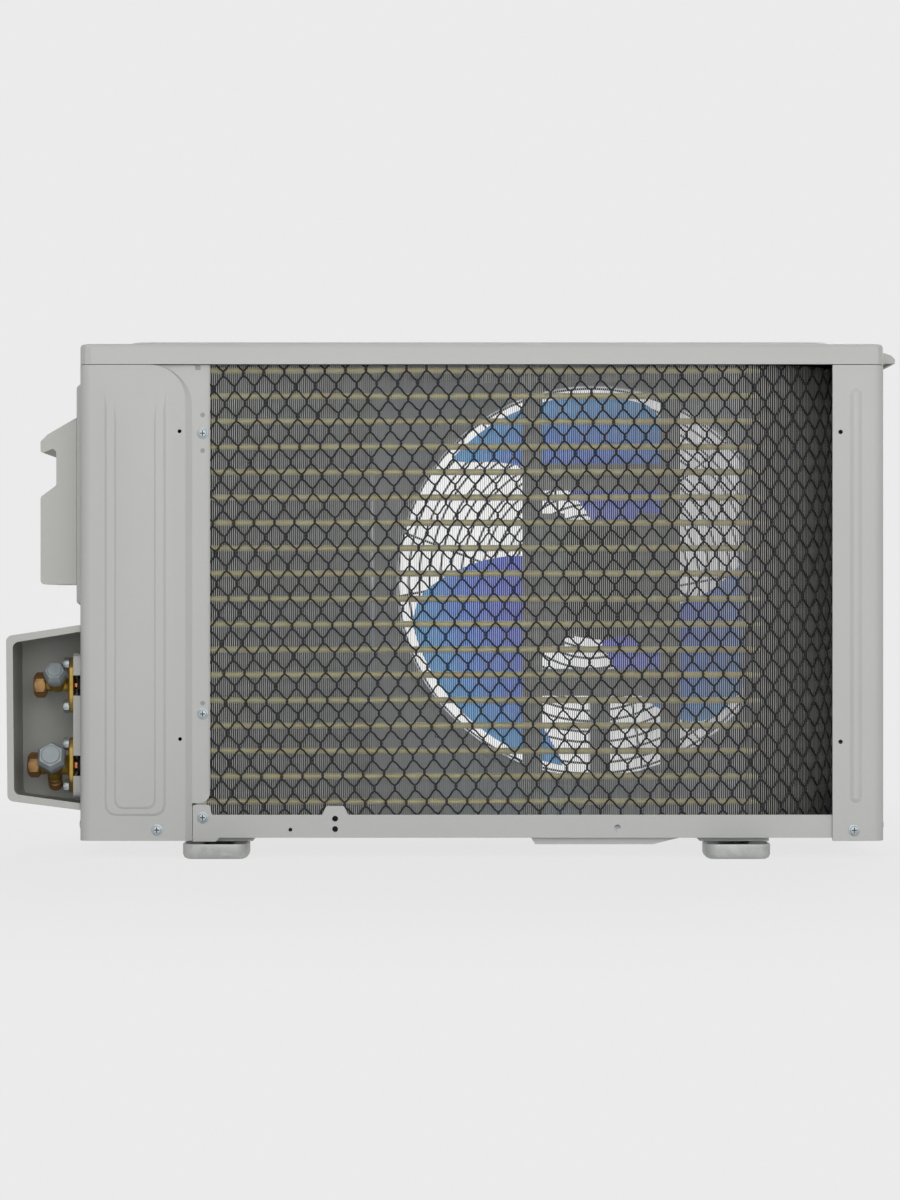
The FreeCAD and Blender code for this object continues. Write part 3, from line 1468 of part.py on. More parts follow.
def valve_hood():
    """Hood with an open back, a turned-in lip round the opening and screw tabs on the side."""
    wall_x = left - 0.3
    outer = plate(hood_corners(0.0, wall_x), on_y(hood_back), V(0, hood_depth, 0))
    inner = plate(hood_corners(hood_sheet, wall_x + 1), on_y(hood_back + hood_sheet),
                  V(0, hood_depth - 2 * hood_sheet, 0))
    mouth = plate(hood_corners(hood_lip, wall_x + 1), on_y(hood_back - 1), V(0, hood_sheet + 2, 0))
    hood = outer.cut(inner).cut(mouth)
    for z0, z1 in ((hood_top - 1.6, hood_top + 12), (hood_low - 12, hood_low + 1.6)):
        hood = hood.fuse(block(wall_x - hood_sheet, wall_x, hood_back + 30, hood_back + 60, z0, z1))
    return hood.removeSplitter().cut(screw_holes(hood_screw_list))


access_back = rear + 24.0
access_front = access_back + 170.0
access_high = panel_top - 13.0


def access_plate():
    """Removable plate over the wiring opening, pressed out a little from the side."""
    gap = 0.3
    low = rectangle(access_back, access_front, access_low, access_high, 6.0)
    slope = access_slope
    high = rectangle(access_back + slope, access_front - slope, access_low + slope, access_high - slope, 4.0)
    body = frustum(low, high, on_x(left - gap), on_x(left - gap - access_rise))
    skin = body.cut(moved(body, sheet, 0, 0))
    window = block(left - access_rise - 2, left + 1, wiring_y0 + 4, wiring_y1 - 4, wiring_z0 + 4, wiring_z1 - 4)
    return skin.cut(window).cut(screw_holes(side_screws))


def cover_outline(inset):
    """Side view of the service cover, with the grip's notch and hanging lip."""
    x = cover_inner
    out = cover_inner - cover_reach
    top = cover_low + cover_height
    d = inset
    return [(x + d, top - d), (out + 6.0, top - 14.5 - d), (out + d, top - 20.5, 2.0),
            (out + d, top - 31.0 + d, 2.0), (out + 11.0 + d, top - 26.5 + d, 2.0),
            (out + 13.5 + d, top - 29.5, 2.0), (out + 13.5 + d, top - 58.0 - d, 3.0),
            (out + d, top - 68.0 - d, 4.0), (out + d, cover_low + d, 4.0), (x + d, cover_low + d)]


def service_cover():
    outer = plate(cover_outline(0.0), on_y(cover_back), V(0, cover_length, 0))
    inner = plate(cover_outline(cover_wall), on_y(cover_back + cover_wall),
                  V(0, cover_length - 2 * cover_wall, 0))
    inner = inner.fuse(block(cover_inner - 10, cover_inner + 4, cover_back + cover_wall,
                             cover_back + cover_length - cover_wall, cover_low + cover_wall + 0.2,
                             cover_low + cover_height - 11.0))
    cable_exit = block(cover_inner - 25, cover_inner - 7, cover_back + 74, cover_back + 114,
                       cover_low - 1, cover_low + cover_wall + 0.5)
    shell = outer.cut(inner).cut(cable_exit)
    tab = block(cover_inner - 2.5, cover_inner, cover_back + 40, cover_back + 66, cover_low - 12, cover_low + 1)
    return fused([shell, tab]).cut(screw_holes(cover_screw_list))


def terminal_block():
    """Moulded block with four chambers, seated on the plate behind the opening."""
    body = block(terminal_x - 12, plate_x, terminal_y, terminal_y + 52, terminal_z, terminal_z + 20)
    cuts = []
    for i in range(4):
        y = terminal_y + 4 + i * 12
        cuts.append(block(terminal_x - 13, terminal_x - 6, y, y + 8, terminal_z + 4, terminal_z + 16))
    return body.cut(Part.makeCompound(cuts))


def terminal_screws():
    screws = []
    for i in range(4):
        place = V(terminal_x - 6, terminal_y + 8 + i * 12, terminal_z + 10)
        screws.append(bar(place, place + V(-2.5, 0, 0), 3.2, 8))
    return group(screws)


def cable_clamp():
    face = left - 0.6 - access_rise
    y0 = terminal_y + 6
    z = wiring_z0 - 9
    clamp = block(face - 10, face, y0, y0 + 40, z, z + 6)
    return clamp.cut(bar(V(face - 5, y0 + 20, z - 1), V(face - 5, y0 + 20, z + 7), 4.0))


def electrical_plate():
    """Folded plate behind the wiring opening that carries the terminals and the capacitor."""
    y0 = wiring_y0 - 10
    y1 = wiring_y1 + 26
    low = wiring_z0 - 6
    thick = bracket_sheet
    face = block(plate_x, plate_x + thick, y0, y1, low, fin_top)
    folds = [block(left + sheet + 0.3, plate_x + thick, y0, y1, z, z + thick) for z in (low, fin_top - thick)]
    return fused([face] + folds)


def run_capacitor():
    low = wiring_z0 + capacitor_rise
    high = low + capacitor_height
    x = capacitor_x
    can = bar(V(x, capacitor_y, low), V(x, capacitor_y, high), capacitor_radius, 20)
    top = bar(V(x, capacitor_y, high), V(x, capacitor_y, high + 3), capacitor_radius - 5)
    tags = [block(x + dx - 1, x + dx + 1, capacitor_y - 3, capacitor_y + 3, high + 2, high + 12)
            for dx in (-6, 6)]
    return fused([can, top] + tags)


def capacitor_strap():
    x = plate_x + bracket_sheet
    low = wiring_z0 + capacitor_rise + (capacitor_height - strap_height) / 2
    high = low + strap_height
    inside = capacitor_radius + 0.3
    ring = bar(V(capacitor_x, capacitor_y, low), V(capacitor_x, capacitor_y, high), inside + 1.1, 20)
    ring = ring.cut(bar(V(capacitor_x, capacitor_y, low - 1), V(capacitor_x, capacitor_y, high + 1), inside, 20))
    ring = ring.common(block(x + 8, x + 50, capacitor_y - 30, capacitor_y + 30, low, high))
    ends = []
    for sign in (-1, 1):
        inner = capacitor_y + sign * (capacitor_radius - 0.4)
        outer = capacitor_y + sign * (capacitor_radius + 10)
        ends.append(block(x, x + bracket_sheet, min(inner, outer), max(inner, outer), low, high))
        ends.append(block(x, x + 16, min(inner, inner + sign), max(inner, inner + sign), low, high))
    return fused([ring] + ends)


plate_x = left + plate_in
terminal_x = cover_inner + 0.8
terminal_y = wiring_y0 + 10
terminal_z = wiring_z0 + 16
capacitor_y = wiring_y1 + 2
capacitor_x = plate_x + bracket_sheet + capacitor_radius + 0.3


def pull_handle():
    """Handle on the cover's end with a lip to pull up on."""
    x = right + 0.3
    y0 = -handle_length / 2
    top = cabinet_height - 0.3
    low = skirt_bottom + 5.2
    section = [(x, low), (x + 2.0, low), (x + 2.0, top - 7.0), (x + handle_reach - 2.4, top - 9.0),
               (x + handle_reach - 2.4, low), (x + handle_reach, low), (x + handle_reach, top - 8.0, 2.0),
               (x + handle_reach - 3.5, top - 4.6, 1.5), (x, top)]
    lip = plate(section, on_y(y0 + 2.0), V(0, handle_length - 4.0, 0))
    end = [(x, low), (x + handle_reach, low), (x + handle_reach, top - 8.0, 2.0),
           (x + handle_reach - 3.5, top - 4.6, 1.5), (x, top)]
    cheeks = [plate(end, on_y(y0), V(0, 2.0, 0)), plate(end, on_y(y0 + handle_length - 2.0), V(0, 2.0, 0))]
    return fused([lip] + cheeks)


def screw_group(screws):
    return group([screw(place, way, length, radius) for place, way, length, radius in screws])


nodes = {
    "foot_left": foot(-foot_pitch_x / 2),
    "foot_right": foot(foot_pitch_x / 2),
    "base_pan": base_pan(),
    "top_cover": top_cover(),
    "valve_side_panel": valve_side_panel(),
    "coil_side_panel": coil_side_panel(),
    "front_panel": front_panel(),
    "fan_guard": fan_guard(),
    "guard_net": guard_net(),
    "coil_fins": coil_fins(),
    "coil_tubes": coil_tubes(),
    "return_bends": return_bends(),
    "coil_end_plates": coil_end_plates(),
    "fan": fan(),
    "motor_shaft": motor_shaft(),
    "fan_nut": fan_nut(),
    "fan_motor": fan_motor(),
    "motor_bracket": motor_bracket(),
    "motor_screws": motor_screws(),
    "partition_plate": partition_plate(),
    "compressor": compressor(),
    "compressor_mounts": compressor_mounts(),
    "mount_studs": mount_studs(),
    "accumulator": accumulator(),
    "terminal_cover": terminal_cover(),
    "discharge_pipe": discharge_pipe(),
    "suction_pipe": suction_pipe(),
    "liquid_pipe": liquid_pipe(),
    "strainer": strainer(),
    "capillary": capillary(),
    "valve_bracket": valve_bracket(),
    "liquid_valve": valve_body(liquid_z, liquid_reach, liquid_pipe_radius, liquid_waist, hex_liquid,
                               liquid_tilt, False),
    "gas_valve": valve_body(gas_z, gas_reach, gas_pipe_radius, gas_waist, hex_gas, gas_tilt, True),
    "liquid_stem": valve_stem(liquid_z, liquid_reach, hex_liquid, liquid_tilt),
    "gas_stem": valve_stem(gas_z, gas_reach, hex_gas, gas_tilt),
    "liquid_cap": valve_cap(liquid_z, liquid_reach, hex_liquid, liquid_tilt, X_AXIS),
    "gas_cap": valve_cap(gas_z, gas_reach, hex_gas, gas_tilt, Z_AXIS),
    "liquid_nut": flare_nut(liquid_z, liquid_reach, liquid_pipe_radius),
    "gas_nut": flare_nut(gas_z, gas_reach, gas_pipe_radius),
    "port_core": port_core(),
    "port_cap": port_cap(),
    "valve_bolts": valve_bolts(),
    "pipe_sleeves": pipe_sleeves(),
    "valve_hood": valve_hood(),
    "hood_screws": screw_group(hood_screw_list),
    "access_plate": access_plate(),
    "service_cover": service_cover(),
    "cover_screw": screw_group(cover_screw_list),
    "terminal_block": terminal_block(),
    "terminal_screws": terminal_screws(),
    "cable_clamp": cable_clamp(),
    "electrical_plate": electrical_plate(),
    "run_capacitor": run_capacitor(),
    "capacitor_strap": capacitor_strap(),
    "pull_handle": pull_handle(),
    "panel_screws": screw_group(cabinet_screws),
    "guard_screws": screw_group(guard_screw_list),
}

os.makedirs("parts", exist_ok=True)
for name, shape in nodes.items():
    shape.exportStep(os.path.join("parts", name + ".step"))
    print(name, len(shape.Solids), shape.isValid(), round(shape.Volume / 1000, 2))
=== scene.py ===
"""Looks of the outdoor unit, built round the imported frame. Metres throughout."""
import json
import math
import random

import bmesh
import bpy
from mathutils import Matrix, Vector


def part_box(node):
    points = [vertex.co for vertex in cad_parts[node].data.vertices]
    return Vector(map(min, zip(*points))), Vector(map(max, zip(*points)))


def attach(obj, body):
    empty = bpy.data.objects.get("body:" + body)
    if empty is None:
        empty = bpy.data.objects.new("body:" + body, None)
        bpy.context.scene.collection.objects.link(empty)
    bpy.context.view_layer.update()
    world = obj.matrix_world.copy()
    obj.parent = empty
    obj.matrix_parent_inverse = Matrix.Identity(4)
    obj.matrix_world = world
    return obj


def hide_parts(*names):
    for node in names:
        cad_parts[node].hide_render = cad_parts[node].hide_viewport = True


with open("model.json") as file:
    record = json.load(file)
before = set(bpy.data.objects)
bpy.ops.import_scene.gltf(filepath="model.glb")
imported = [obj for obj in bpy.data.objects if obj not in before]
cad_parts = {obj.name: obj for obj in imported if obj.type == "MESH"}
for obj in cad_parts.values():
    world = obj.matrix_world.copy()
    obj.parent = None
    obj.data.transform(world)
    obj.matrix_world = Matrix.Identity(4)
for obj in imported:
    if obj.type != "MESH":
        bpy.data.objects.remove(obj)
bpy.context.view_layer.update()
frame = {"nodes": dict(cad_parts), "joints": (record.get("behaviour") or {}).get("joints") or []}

X_AXIS = Vector((1, 0, 0))
Y_AXIS = Vector((0, 1, 0))
Z_AXIS = Vector((0, 0, 1))
# Points nearer to each other than this are one point
weld = 1e-6
# Radius at which a turned piece closes on its axis, in a large piece and in a small head
centre_point = 0.0001
head_centre = 0.0002

# View of the photograph: distance from the rear plane, place, and lens and sensor in mm
camera_gap = 3.0
camera_x = -0.0224
camera_z = 0.218
lens = 106.13
sensor = 36.0

# Coil: the tubes run in the middle of fin_depth, and the fins are drawn as deep as fin_reach
# and thicker than the real 0.1 mm, so that their edges show. The points of the left end plate
# lie within end_plate_zone of the CAD's first fin
fin_depth = 0.0134
fin_reach = 0.0112
fin_pitch = 0.0017
fin_sheet = 0.00032
fin_lean = 0.00012
fin_start = -0.2284
fin_over_top = 0.0108
fin_over_bottom = 0.0126
end_plate_zone = 0.0015
tube_rows = 18
tube_radius = 0.0027
tube_past_start = 0.012
tube_past_end = 0.004
start_bend_reach = 0.95
coil_bend = 0.090

# Guard net: width and height of a mesh, how it leans and rises, and the place of one knot
mesh_width = 0.0173
mesh_height = 0.0254
mesh_lean = 0.07
mesh_rise = 0.03
strand_radius = 0.00084
knot_reach = 0.0025
knot_x = -0.0012
knot_z = 0.2002
# More columns and rows of half meshes than the net has; those past its edges are dropped
net_columns = range(-40, 80)
net_rows = range(-24, 24)
# How far a knot strays and stretches, and its outline as (share of knot_reach, strand radii)
knot_drift = 0.0003
knot_stretch = (-0.0002, 0.0003)
knot_outline = ((-1.0, 0.55), (-0.6, 0.95), (0.0, 1.25), (0.6, 0.95), (1.0, 0.55))
knot_breadth = 1.15
knot_lift = 0.001
# Inset of the strands from the net's face in strand radii, their bow, and where they leave a knot
strand_inset = 1.4
strand_bow = 0.07
strand_leave = 0.8

# Fan: a cup-shaped hub with a boss round the shaft
hub_radius = 0.044
hub_length = 0.052
hub_wall = 0.003
hub_rounding = 0.006
boss_radius = 0.010
boss_set_in = 0.008
shaft_bore = 0.0041
nut_seat_radius = 0.012
# Blades: each edge is (degrees at the root, gain in degrees per metre outwards, curl of the tip)
fan_radius = 0.168
blade_count = 3
blade_sheet = 0.0026
blade_foot = 0.0015
blade_set_in = 0.004
blade_root = 0.045
blade_first_edge = (154.5, 267, 5)
blade_second_edge = (210.4, 426, -3)
blade_tip = 0.1
blade_root_depth = 0.038
blade_depth_gain = 0.30
blade_camber = 0.1
blade_edge_thin = 0.25
blade_edge_rise = 4
blade_rows = 20
blade_columns = 24

# Wire guard: radii of its wires, rings, pressed disc, spokes with their lean in degrees, feet
guard_wire = 0.0011
rim_wire = 1.8 * guard_wire
ring_pitch = 0.0097
guard_disc = 0.042
disc_cone = 0.006
disc_edge = 0.0005
disc_bead = 0.002
disc_dish = 0.012
spoke_count = 12
spoke_lean = 25.0
spoke_turn = 10
spoke_overlap = 0.004
guard_foot = 0.0068
guard_foot_hole = 0.002
guard_foot_least_length = 0.006
guard_foot_most_width = 0.04

# Screw heads: share of the CAD head, cross recess in shares of the radius, and from the seat up
# the outline as (share of the radius, height)
head_share = 0.98
head_zone = 0.4
head_top = 0.0021
recess_arm = 0.46
recess_half = 0.1
recess_taper = 0.8
recess_depth = 0.0011
head_outline = ((1.0, 0), (1.0, 0.0006), (0.86, 0.0009), (0.76, 0.0009), (0.75, 0.0014),
                (0.66, head_top * 0.92), (0.54, head_top))

# Valves: widths across flats, pipes and waists by radius
hex_liquid = 0.0175
hex_gas = 0.023
hex_nut = 0.019
liquid_pipe = 0.00325
gas_pipe = 0.00485
liquid_waist = 0.0052
gas_waist = 0.0079
# Flange: half width and height, where its corners are cut off, and how they are rounded
flange_half = (0.012, 0.0237)
flange_thick = 0.0046
flange_cut = (0.42, 0.62)
flange_corner = 0.12
flange_pull = (0.988, 0.992)
front_chamfer = 0.0008
back_chamfer = 0.0010
# Waist at the flange and, counted back, at the nut: (share of the waist, distance)
neck_foot = ((1.5, -0.001), (1.25, 0.0008), (1.05, 0.0026), (1.0, 0.005))
neck_end = ((1.0, 0.004), (1.08, 0.0016), (1.0, 0.0004))
nut_gap = 0.0005
# Threaded spigot, with its groove, lip and bore as shares
spigot_length = 0.0065
spigot_wall = 0.0023
thread_pitch = 0.0008
thread_turns = 7
thread_groove = 0.93
spigot_foot = (0.9, 0.001)
spigot_lip = 0.85
spigot_bore = 0.55
spigot_bore_end = 0.003
# Stem boss with the neck that the cap screws on, as shares of the width across flats
stem_boss = 0.013
stem_boss_share = 0.44
boss_chamfer = 0.0009
cap_neck = ((0.34, stem_boss), (0.34, 0.0213), (0.3, 0.0219))
# Charging port and its cap: (radius, distance)
port_boss = 0.0136
port_outline = ((0.0062, 0.0), (0.0064, 0.004), (0.0064, port_boss - 0.0007), (0.0057, port_boss),
                (0.0038, port_boss), (0.0038, 0.0222), (0.0033, 0.0226))
port_cap_start = 0.0139
port_cap_outline = ((centre_point, 0.0091), (0.0042, 0.0091), (0.0042, 0.0), (0.0058, 0.0),
                    (0.0062, 0.0005), (0.0062, 0.0030), (0.0057, 0.0035), (0.0057, 0.0046),
                    (0.0062, 0.0051), (0.0062, 0.0107), (0.0059, 0.0115), (0.0052, 0.0116),
                    (0.0052, 0.0123), (0.0049, 0.0126), (centre_point, 0.0126))
# Stem cap, as (width, turned-off radius, distance), the first two in widths across flats
cap_start = 0.0133
cap_length = 0.013
cap_face = 0.0012
cap_bore = 0.36
cap_bore_depth = 0.0092
cap_outline = ((1.0, 0.51, 0.0), (1.0, 1.0, 0.0010), (1.0, 1.0, 0.0080), (0.97, 1.0, 0.0086),
               (0.84, 1.0, cap_length - 0.0005), (0.80, 1.0, cap_length), (1.0, 0.35, cap_length),
               (1.0, 0.345, cap_length + cap_face * 0.7), (1.0, 0.32, cap_length + cap_face))
# Flare nut: turned-off radius in widths across flats, and distance from its mouth or its end
nut_wall = 0.0025
nut_nose = 0.001
nut_nose_share = 0.42
nut_seat = 0.0078
nut_thread_end = 0.0068
nut_mouth = ((0.44, 0.0), (0.47, 0.0006), (0.5, 0.0007), (1.0, 0.0018))
nut_end = ((1.0, 0.0016), (0.51, 0.0002), (0.49, 0.0))
# Flange bolts: turned-off radius in widths across flats, and distance from the seat
bolt_hex = 0.010
bolt_head = 0.0054
bolt_outline = ((0.5, 0.0), (1.0, 0.0006), (1.0, bolt_head - 0.0012), (0.49, bolt_head - 0.0002),
                (0.47, bolt_head))

# Studio: ground colour, floor, the zone that keeps the object's shadow, and the room's light
ground = "ebebeb"
floor_half = 6.0
floor_drop = 0.0006
paper_white = 0.9
shadow_near = 0.5
shadow_far = 1.1
shadow_share = 0.1
room_light = 0.38


def linear(code, strength=1.0):
    """Scene-linear colour of an sRGB hex code."""
    values = []
    for i in (0, 2, 4):
        value = int(code[i:i + 2], 16) / 255
        value = value / 12.92 if value <= 0.04045 else ((value + 0.055) / 1.055) ** 2.4
        values.append(value * strength)
    return (*values, 1.0)


# Materials

def put(tree, kind, settings=None, inputs=None):
    """Adds a node, sets its properties, and links or sets its inputs."""
    node = tree.nodes.new(kind)
    for key, value in (settings or {}).items():
        setattr(node, key, value)
    for key, value in (inputs or {}).items():
        if isinstance(value, bpy.types.NodeSocket):
            tree.links.new(value, node.inputs[key])
        else:
            node.inputs[key].default_value = value
    return node


def blank(name):
    material = bpy.data.materials.new(name)
    material.use_nodes = True
    material.node_tree.nodes.clear()
    return material, material.node_tree


def finish_surface(tree, inputs):
    shader = put(tree, "ShaderNodeBsdfPrincipled", inputs=inputs)
    put(tree, "ShaderNodeOutputMaterial", inputs={"Surface": shader.outputs[0]})


def ramp(tree, factor, stops):
    """Colour ramp over a factor; stops are (position, sRGB hex code)."""
    node = put(tree, "ShaderNodeValToRGB", inputs={"Fac": factor})
    elements = node.color_ramp.elements
    while len(elements) < len(stops):
        elements.new(0.5)
    for element, (position, code) in zip(elements, stops):
        element.position = position
        element.color = linear(code)
    return node.outputs["Color"]


def surface(name, stops, rough, cloud, grain, bump, metal=0.0, stretch=(1, 1, 1)):
    """Cloudy colour and roughness, and a fine bump; cloud and grain are their sizes in mm."""
    material, tree = blank(name)
    place = put(tree, "ShaderNodeTexCoord").outputs["Object"]
    place = put(tree, "ShaderNodeMapping", inputs={"Vector": place, "Scale": stretch}).outputs[0]
    broad = put(tree, "ShaderNodeTexNoise",
                inputs={"Vector": place, "Scale": 1000 / cloud, "Detail": 4.0})
    shine = put(tree, "ShaderNodeMapRange",
                inputs={"Value": broad.outputs["Fac"], "From Min": 0.3, "From Max": 0.7,
                        "To Min": rough[0], "To Max": rough[1]})
    fine = put(tree, "ShaderNodeTexNoise",
               inputs={"Vector": place, "Scale": 1000 / grain, "Detail": 2.0})
    relief = put(tree, "ShaderNodeBump",
                 inputs={"Height": fine.outputs["Fac"], "Strength": bump, "Distance": 0.0005})
    finish_surface(tree, {"Base Color": ramp(tree, broad.outputs["Fac"], stops),
                          "Roughness": shine.outputs[0], "Metallic": metal,
                          "Normal": relief.outputs[0]})
    return material


def galvanised_sheet(name, stops, rough, spangle=6.0, crystal_share=0.35):
    """Zinc crystals of slightly different brightness; spangle is their size in mm."""
    material, tree = blank(name)
    place = put(tree, "ShaderNodeTexCoord").outputs["Object"]
    cells = put(tree, "ShaderNodeTexVoronoi",
                inputs={"Vector": place, "Scale": 1000 / spangle, "Randomness": 1.0})
    cloud = put(tree, "ShaderNodeTexNoise",
                inputs={"Vector": place, "Scale": 200 / spangle, "Detail": 5.0})
    crystal = put(tree, "ShaderNodeSeparateColor", inputs={"Color": cells.outputs["Color"]})
    both = put(tree, "ShaderNodeMath", {"operation": "MULTIPLY_ADD"},
               {0: crystal.outputs[0], 1: crystal_share, 2: cloud.outputs["Fac"]})
    shine = put(tree, "ShaderNodeMapRange",
                inputs={"Value": both.outputs[0], "From Min": 0.3, "From Max": 1.0,
                        "To Min": rough[0], "To Max": rough[1]})
    relief = put(tree, "ShaderNodeBump",
                 inputs={"Height": cloud.outputs["Fac"], "Strength": 0.12, "Distance": 0.0008})
    finish_surface(tree, {"Base Color": ramp(tree, both.outputs[0], stops), "Metallic": 0.6,
                          "Roughness": shine.outputs[0], "Normal": relief.outputs[0]})
    return material


def fan_plastic(name, axis, stops, glow, cloud_share=0.12):
    """Glossy moulding coloured by its distance from the axis as painted light and shade; its
    emission is a painted glow that stands for daylight let through.
    """
    material, tree = blank(name)
    place = put(tree, "ShaderNodeTexCoord").outputs["Object"]
    offset = put(tree, "ShaderNodeVectorMath", {"operation": "SUBTRACT"}, {0: place, 1: axis})
    flat_offset = put(tree, "ShaderNodeVectorMath", {"operation": "MULTIPLY"},
                      {0: offset.outputs[0], 1: (1.0, 0.0, 1.0)})
    reach = put(tree, "ShaderNodeVectorMath", {"operation": "LENGTH"}, {0: flat_offset.outputs[0]})
    share = put(tree, "ShaderNodeMapRange",
                inputs={"Value": reach.outputs["Value"], "From Min": hub_radius,
                        "From Max": fan_radius})
    cloud = put(tree, "ShaderNodeTexNoise", inputs={"Vector": place, "Scale": 18.0, "Detail": 3.0})
    mixed = put(tree, "ShaderNodeMath", {"operation": "MULTIPLY_ADD"},
                {0: cloud.outputs["Fac"], 1: cloud_share, 2: share.outputs[0]})
    relief = put(tree, "ShaderNodeBump",
                 inputs={"Height": cloud.outputs["Fac"], "Strength": 0.05, "Distance": 0.001})
    colour = ramp(tree, mixed.outputs[0], stops)
    # Emission in the base colour: a painted glow
    finish_surface(tree, {"Base Color": colour, "Roughness": 0.24, "Normal": relief.outputs[0],
                          "Coat Weight": 0.3, "Coat Roughness": 0.08, "Emission Color": colour,
                          "Emission Strength": glow})
    return material


# Mesh code

def cross_frame(way):
    """Two directions square to a way and to each other."""
    helper = Z_AXIS if abs(way.z) < 0.9 else X_AXIS
    across = way.cross(helper).normalized()
    return across, across.cross(way).normalized()


def circle(centre, across, up, radius, sides):
    """Ring of points; radius may be a function of the angle."""
    ring = []
    for j in range(sides):
        angle = 2 * math.pi * j / sides
        reach = radius(angle) if callable(radius) else radius
        ring.append(centre + across * (reach * math.cos(angle)) + up * (reach * math.sin(angle)))
    return ring


class Builder:
    """Collects faces of one mesh object; a tint is the number of a face's material."""

    def __init__(self):
        self.points = []
        self.faces = []
        self.tints = []

    def add(self, points, faces, tint=0):
        base = len(self.points)
        self.points.extend(points)
        self.faces.extend([[base + i for i in face] for face in faces])
        self.tints.extend([tint] * len(faces))

    def rings(self, rings, closed=False, shaded=()):
        """Skin over equal rings of points; shaded are the bands with the second material."""
        sides = len(rings[0])
        base = len(self.points)
        self.points.extend(p for ring in rings for p in ring)
        count = len(rings)
        for i in range(count if closed else count - 1):
            a, b = base + i * sides, base + ((i + 1) % count) * sides
            for j in range(sides):
                k = (j + 1) % sides
                self.faces.append([a + j, a + k, b + k, b + j])
                self.tints.append(1 if i in shaded else 0)
        if not closed:
            self.faces.append([base + j for j in range(sides - 1, -1, -1)])
            self.faces.append([base + (count - 1) * sides + j for j in range(sides)])
            self.tints.extend([0, 1 if count - 1 in shaded else 0])

    def sweep(self, path, radius, sides=8, closed=False):
        """Round bar along a path."""
        count = len(path)
        ways = []
        for i in range(count):
            ahead = path[(i + 1) % count] if closed or i < count - 1 else path[i]
            behind = path[i - 1] if closed or i > 0 else path[i]
            ways.append((ahead - behind).normalized())
        across, up = cross_frame(ways[0])
        rings = []
        for i in range(count):
            across = (across - ways[i] * across.dot(ways[i])).normalized()
            up = across.cross(ways[i])
            rings.append(circle(path[i], across, up, radius, sides))
        self.rings(rings, closed)

    def lathe(self, profile, origin, axis, segments=32, closed=False):
        """Turning of (radius, distance) points about an axis."""
        across, up = cross_frame(axis)
        self.rings([circle(origin + axis * distance, across, up, radius, segments)
                    for radius, distance in profile], closed)

    def hexagon(self, profile, origin, axis, corner, closed=False, sides=48):
        """Turned hexagon bar: profile gives (across flats, limit radius, distance)."""
        up = (corner - axis * corner.dot(axis)).normalized()
        across = up.cross(axis)

        def reach(flats, limit):
            def at(angle):
                offset = (angle + math.pi / 6) % (math.pi / 3) - math.pi / 6
                return min(limit, flats / 2 / math.cos(math.pi / 6 - abs(offset)))
            return at

        self.rings([circle(origin + axis * distance, up, across, reach(flats, limit), sides)
                    for flats, limit, distance in profile], closed)

    def done(self, name, *materials, sharp=35.0):
        """Mesh object of what was collected, smooth below the sharp angle."""
        mesh = bpy.data.meshes.new(name)
        mesh.from_pydata([tuple(p) for p in self.points], [], self.faces)
        for material in materials:
            mesh.materials.append(material)
        mesh.polygons.foreach_set("material_index", self.tints)
        work = bmesh.new()
        work.from_mesh(mesh)
        bmesh.ops.recalc_face_normals(work, faces=work.faces)
        work.to_mesh(mesh)
        work.free()
        piece = bpy.data.objects.new(name, mesh)
        bpy.context.scene.collection.objects.link(piece)
        smooth(piece, sharp)
        return piece


def smooth(piece, sharp=35.0):
    """Smooth shading with sharp edges above an angle."""
    mesh = piece.data
    mesh.polygons.foreach_set("use_smooth", [True] * len(mesh.polygons))
    work = bmesh.new()
    work.from_mesh(mesh)
    for edge in work.edges:
        if len(edge.link_faces) == 2:
            edge.smooth = edge.calc_face_angle() < math.radians(sharp)
    work.to_mesh(mesh)
    work.free()


def adopt(piece, body, nodes):
    """Seats a piece on a body in place of CAD nodes."""
    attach(piece, body)
    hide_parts(*nodes)


def softened(node, material, width=0.0004, sharp=15.0):
    """Stand-in for a CAD node: the same faces with small rounded edges that catch the light."""
    mesh = frame["nodes"][node].data.copy()
    mesh.materials.clear()
    mesh.materials.append(material)
    work = bmesh.new()
    work.from_mesh(mesh)
    bmesh.ops.remove_doubles(work, verts=work.verts, dist=weld)
    bmesh.ops.dissolve_limit(work, angle_limit=math.radians(1.0), verts=work.verts,
                             edges=work.edges)
    work.to_mesh(mesh)
    work.free()
    piece = bpy.data.objects.new(node + "_soft", mesh)
    bpy.context.scene.collection.objects.link(piece)
    smooth(piece, sharp)
    edge = piece.modifiers.new("edge", "BEVEL")
    edge.width = width
    edge.segments = 2
    edge.limit_method = "ANGLE"
    edge.angle_limit = math.radians(sharp)
    edge.use_clamp_overlap = True
    edge.harden_normals = True
    adopt(piece, "cabinet", [node])


def islands(node):
    """Points of each separate solid in a CAD node."""
    work = bmesh.new()
    work.from_mesh(frame["nodes"][node].data)
    bmesh.ops.remove_doubles(work, verts=work.verts, dist=weld)
    seen = set()
    groups = []
    for vert in work.verts:
        if vert.index in seen:
            continue
        stack = [vert]
        seen.add(vert.index)
        group = []
        while stack:
            current = stack.pop()
            group.append(current.co.copy())
            for edge in current.link_edges:
                other = edge.other_vert(current)
                if other.index not in seen:
                    seen.add(other.index)
                    stack.append(other)
        groups.append(group)
    work.free()
    return groups


def span(points):
    """Lowest and highest corner of some points."""
    low = Vector([min(p[i] for p in points) for i in range(3)])
    high = Vector([max(p[i] for p in points) for i in range(3)])
    return low, high


def plain(node, material):
    """Gives a CAD node its material."""
    piece = frame["nodes"][node]
    piece.data.materials.clear()
    piece.data.materials.append(material)


# Coil: real fins, tubes and bends

fins_low, fins_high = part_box("coil_fins")
coil_bend_x = fins_high.x - coil_bend
coil_bend_y = fins_low.y + coil_bend


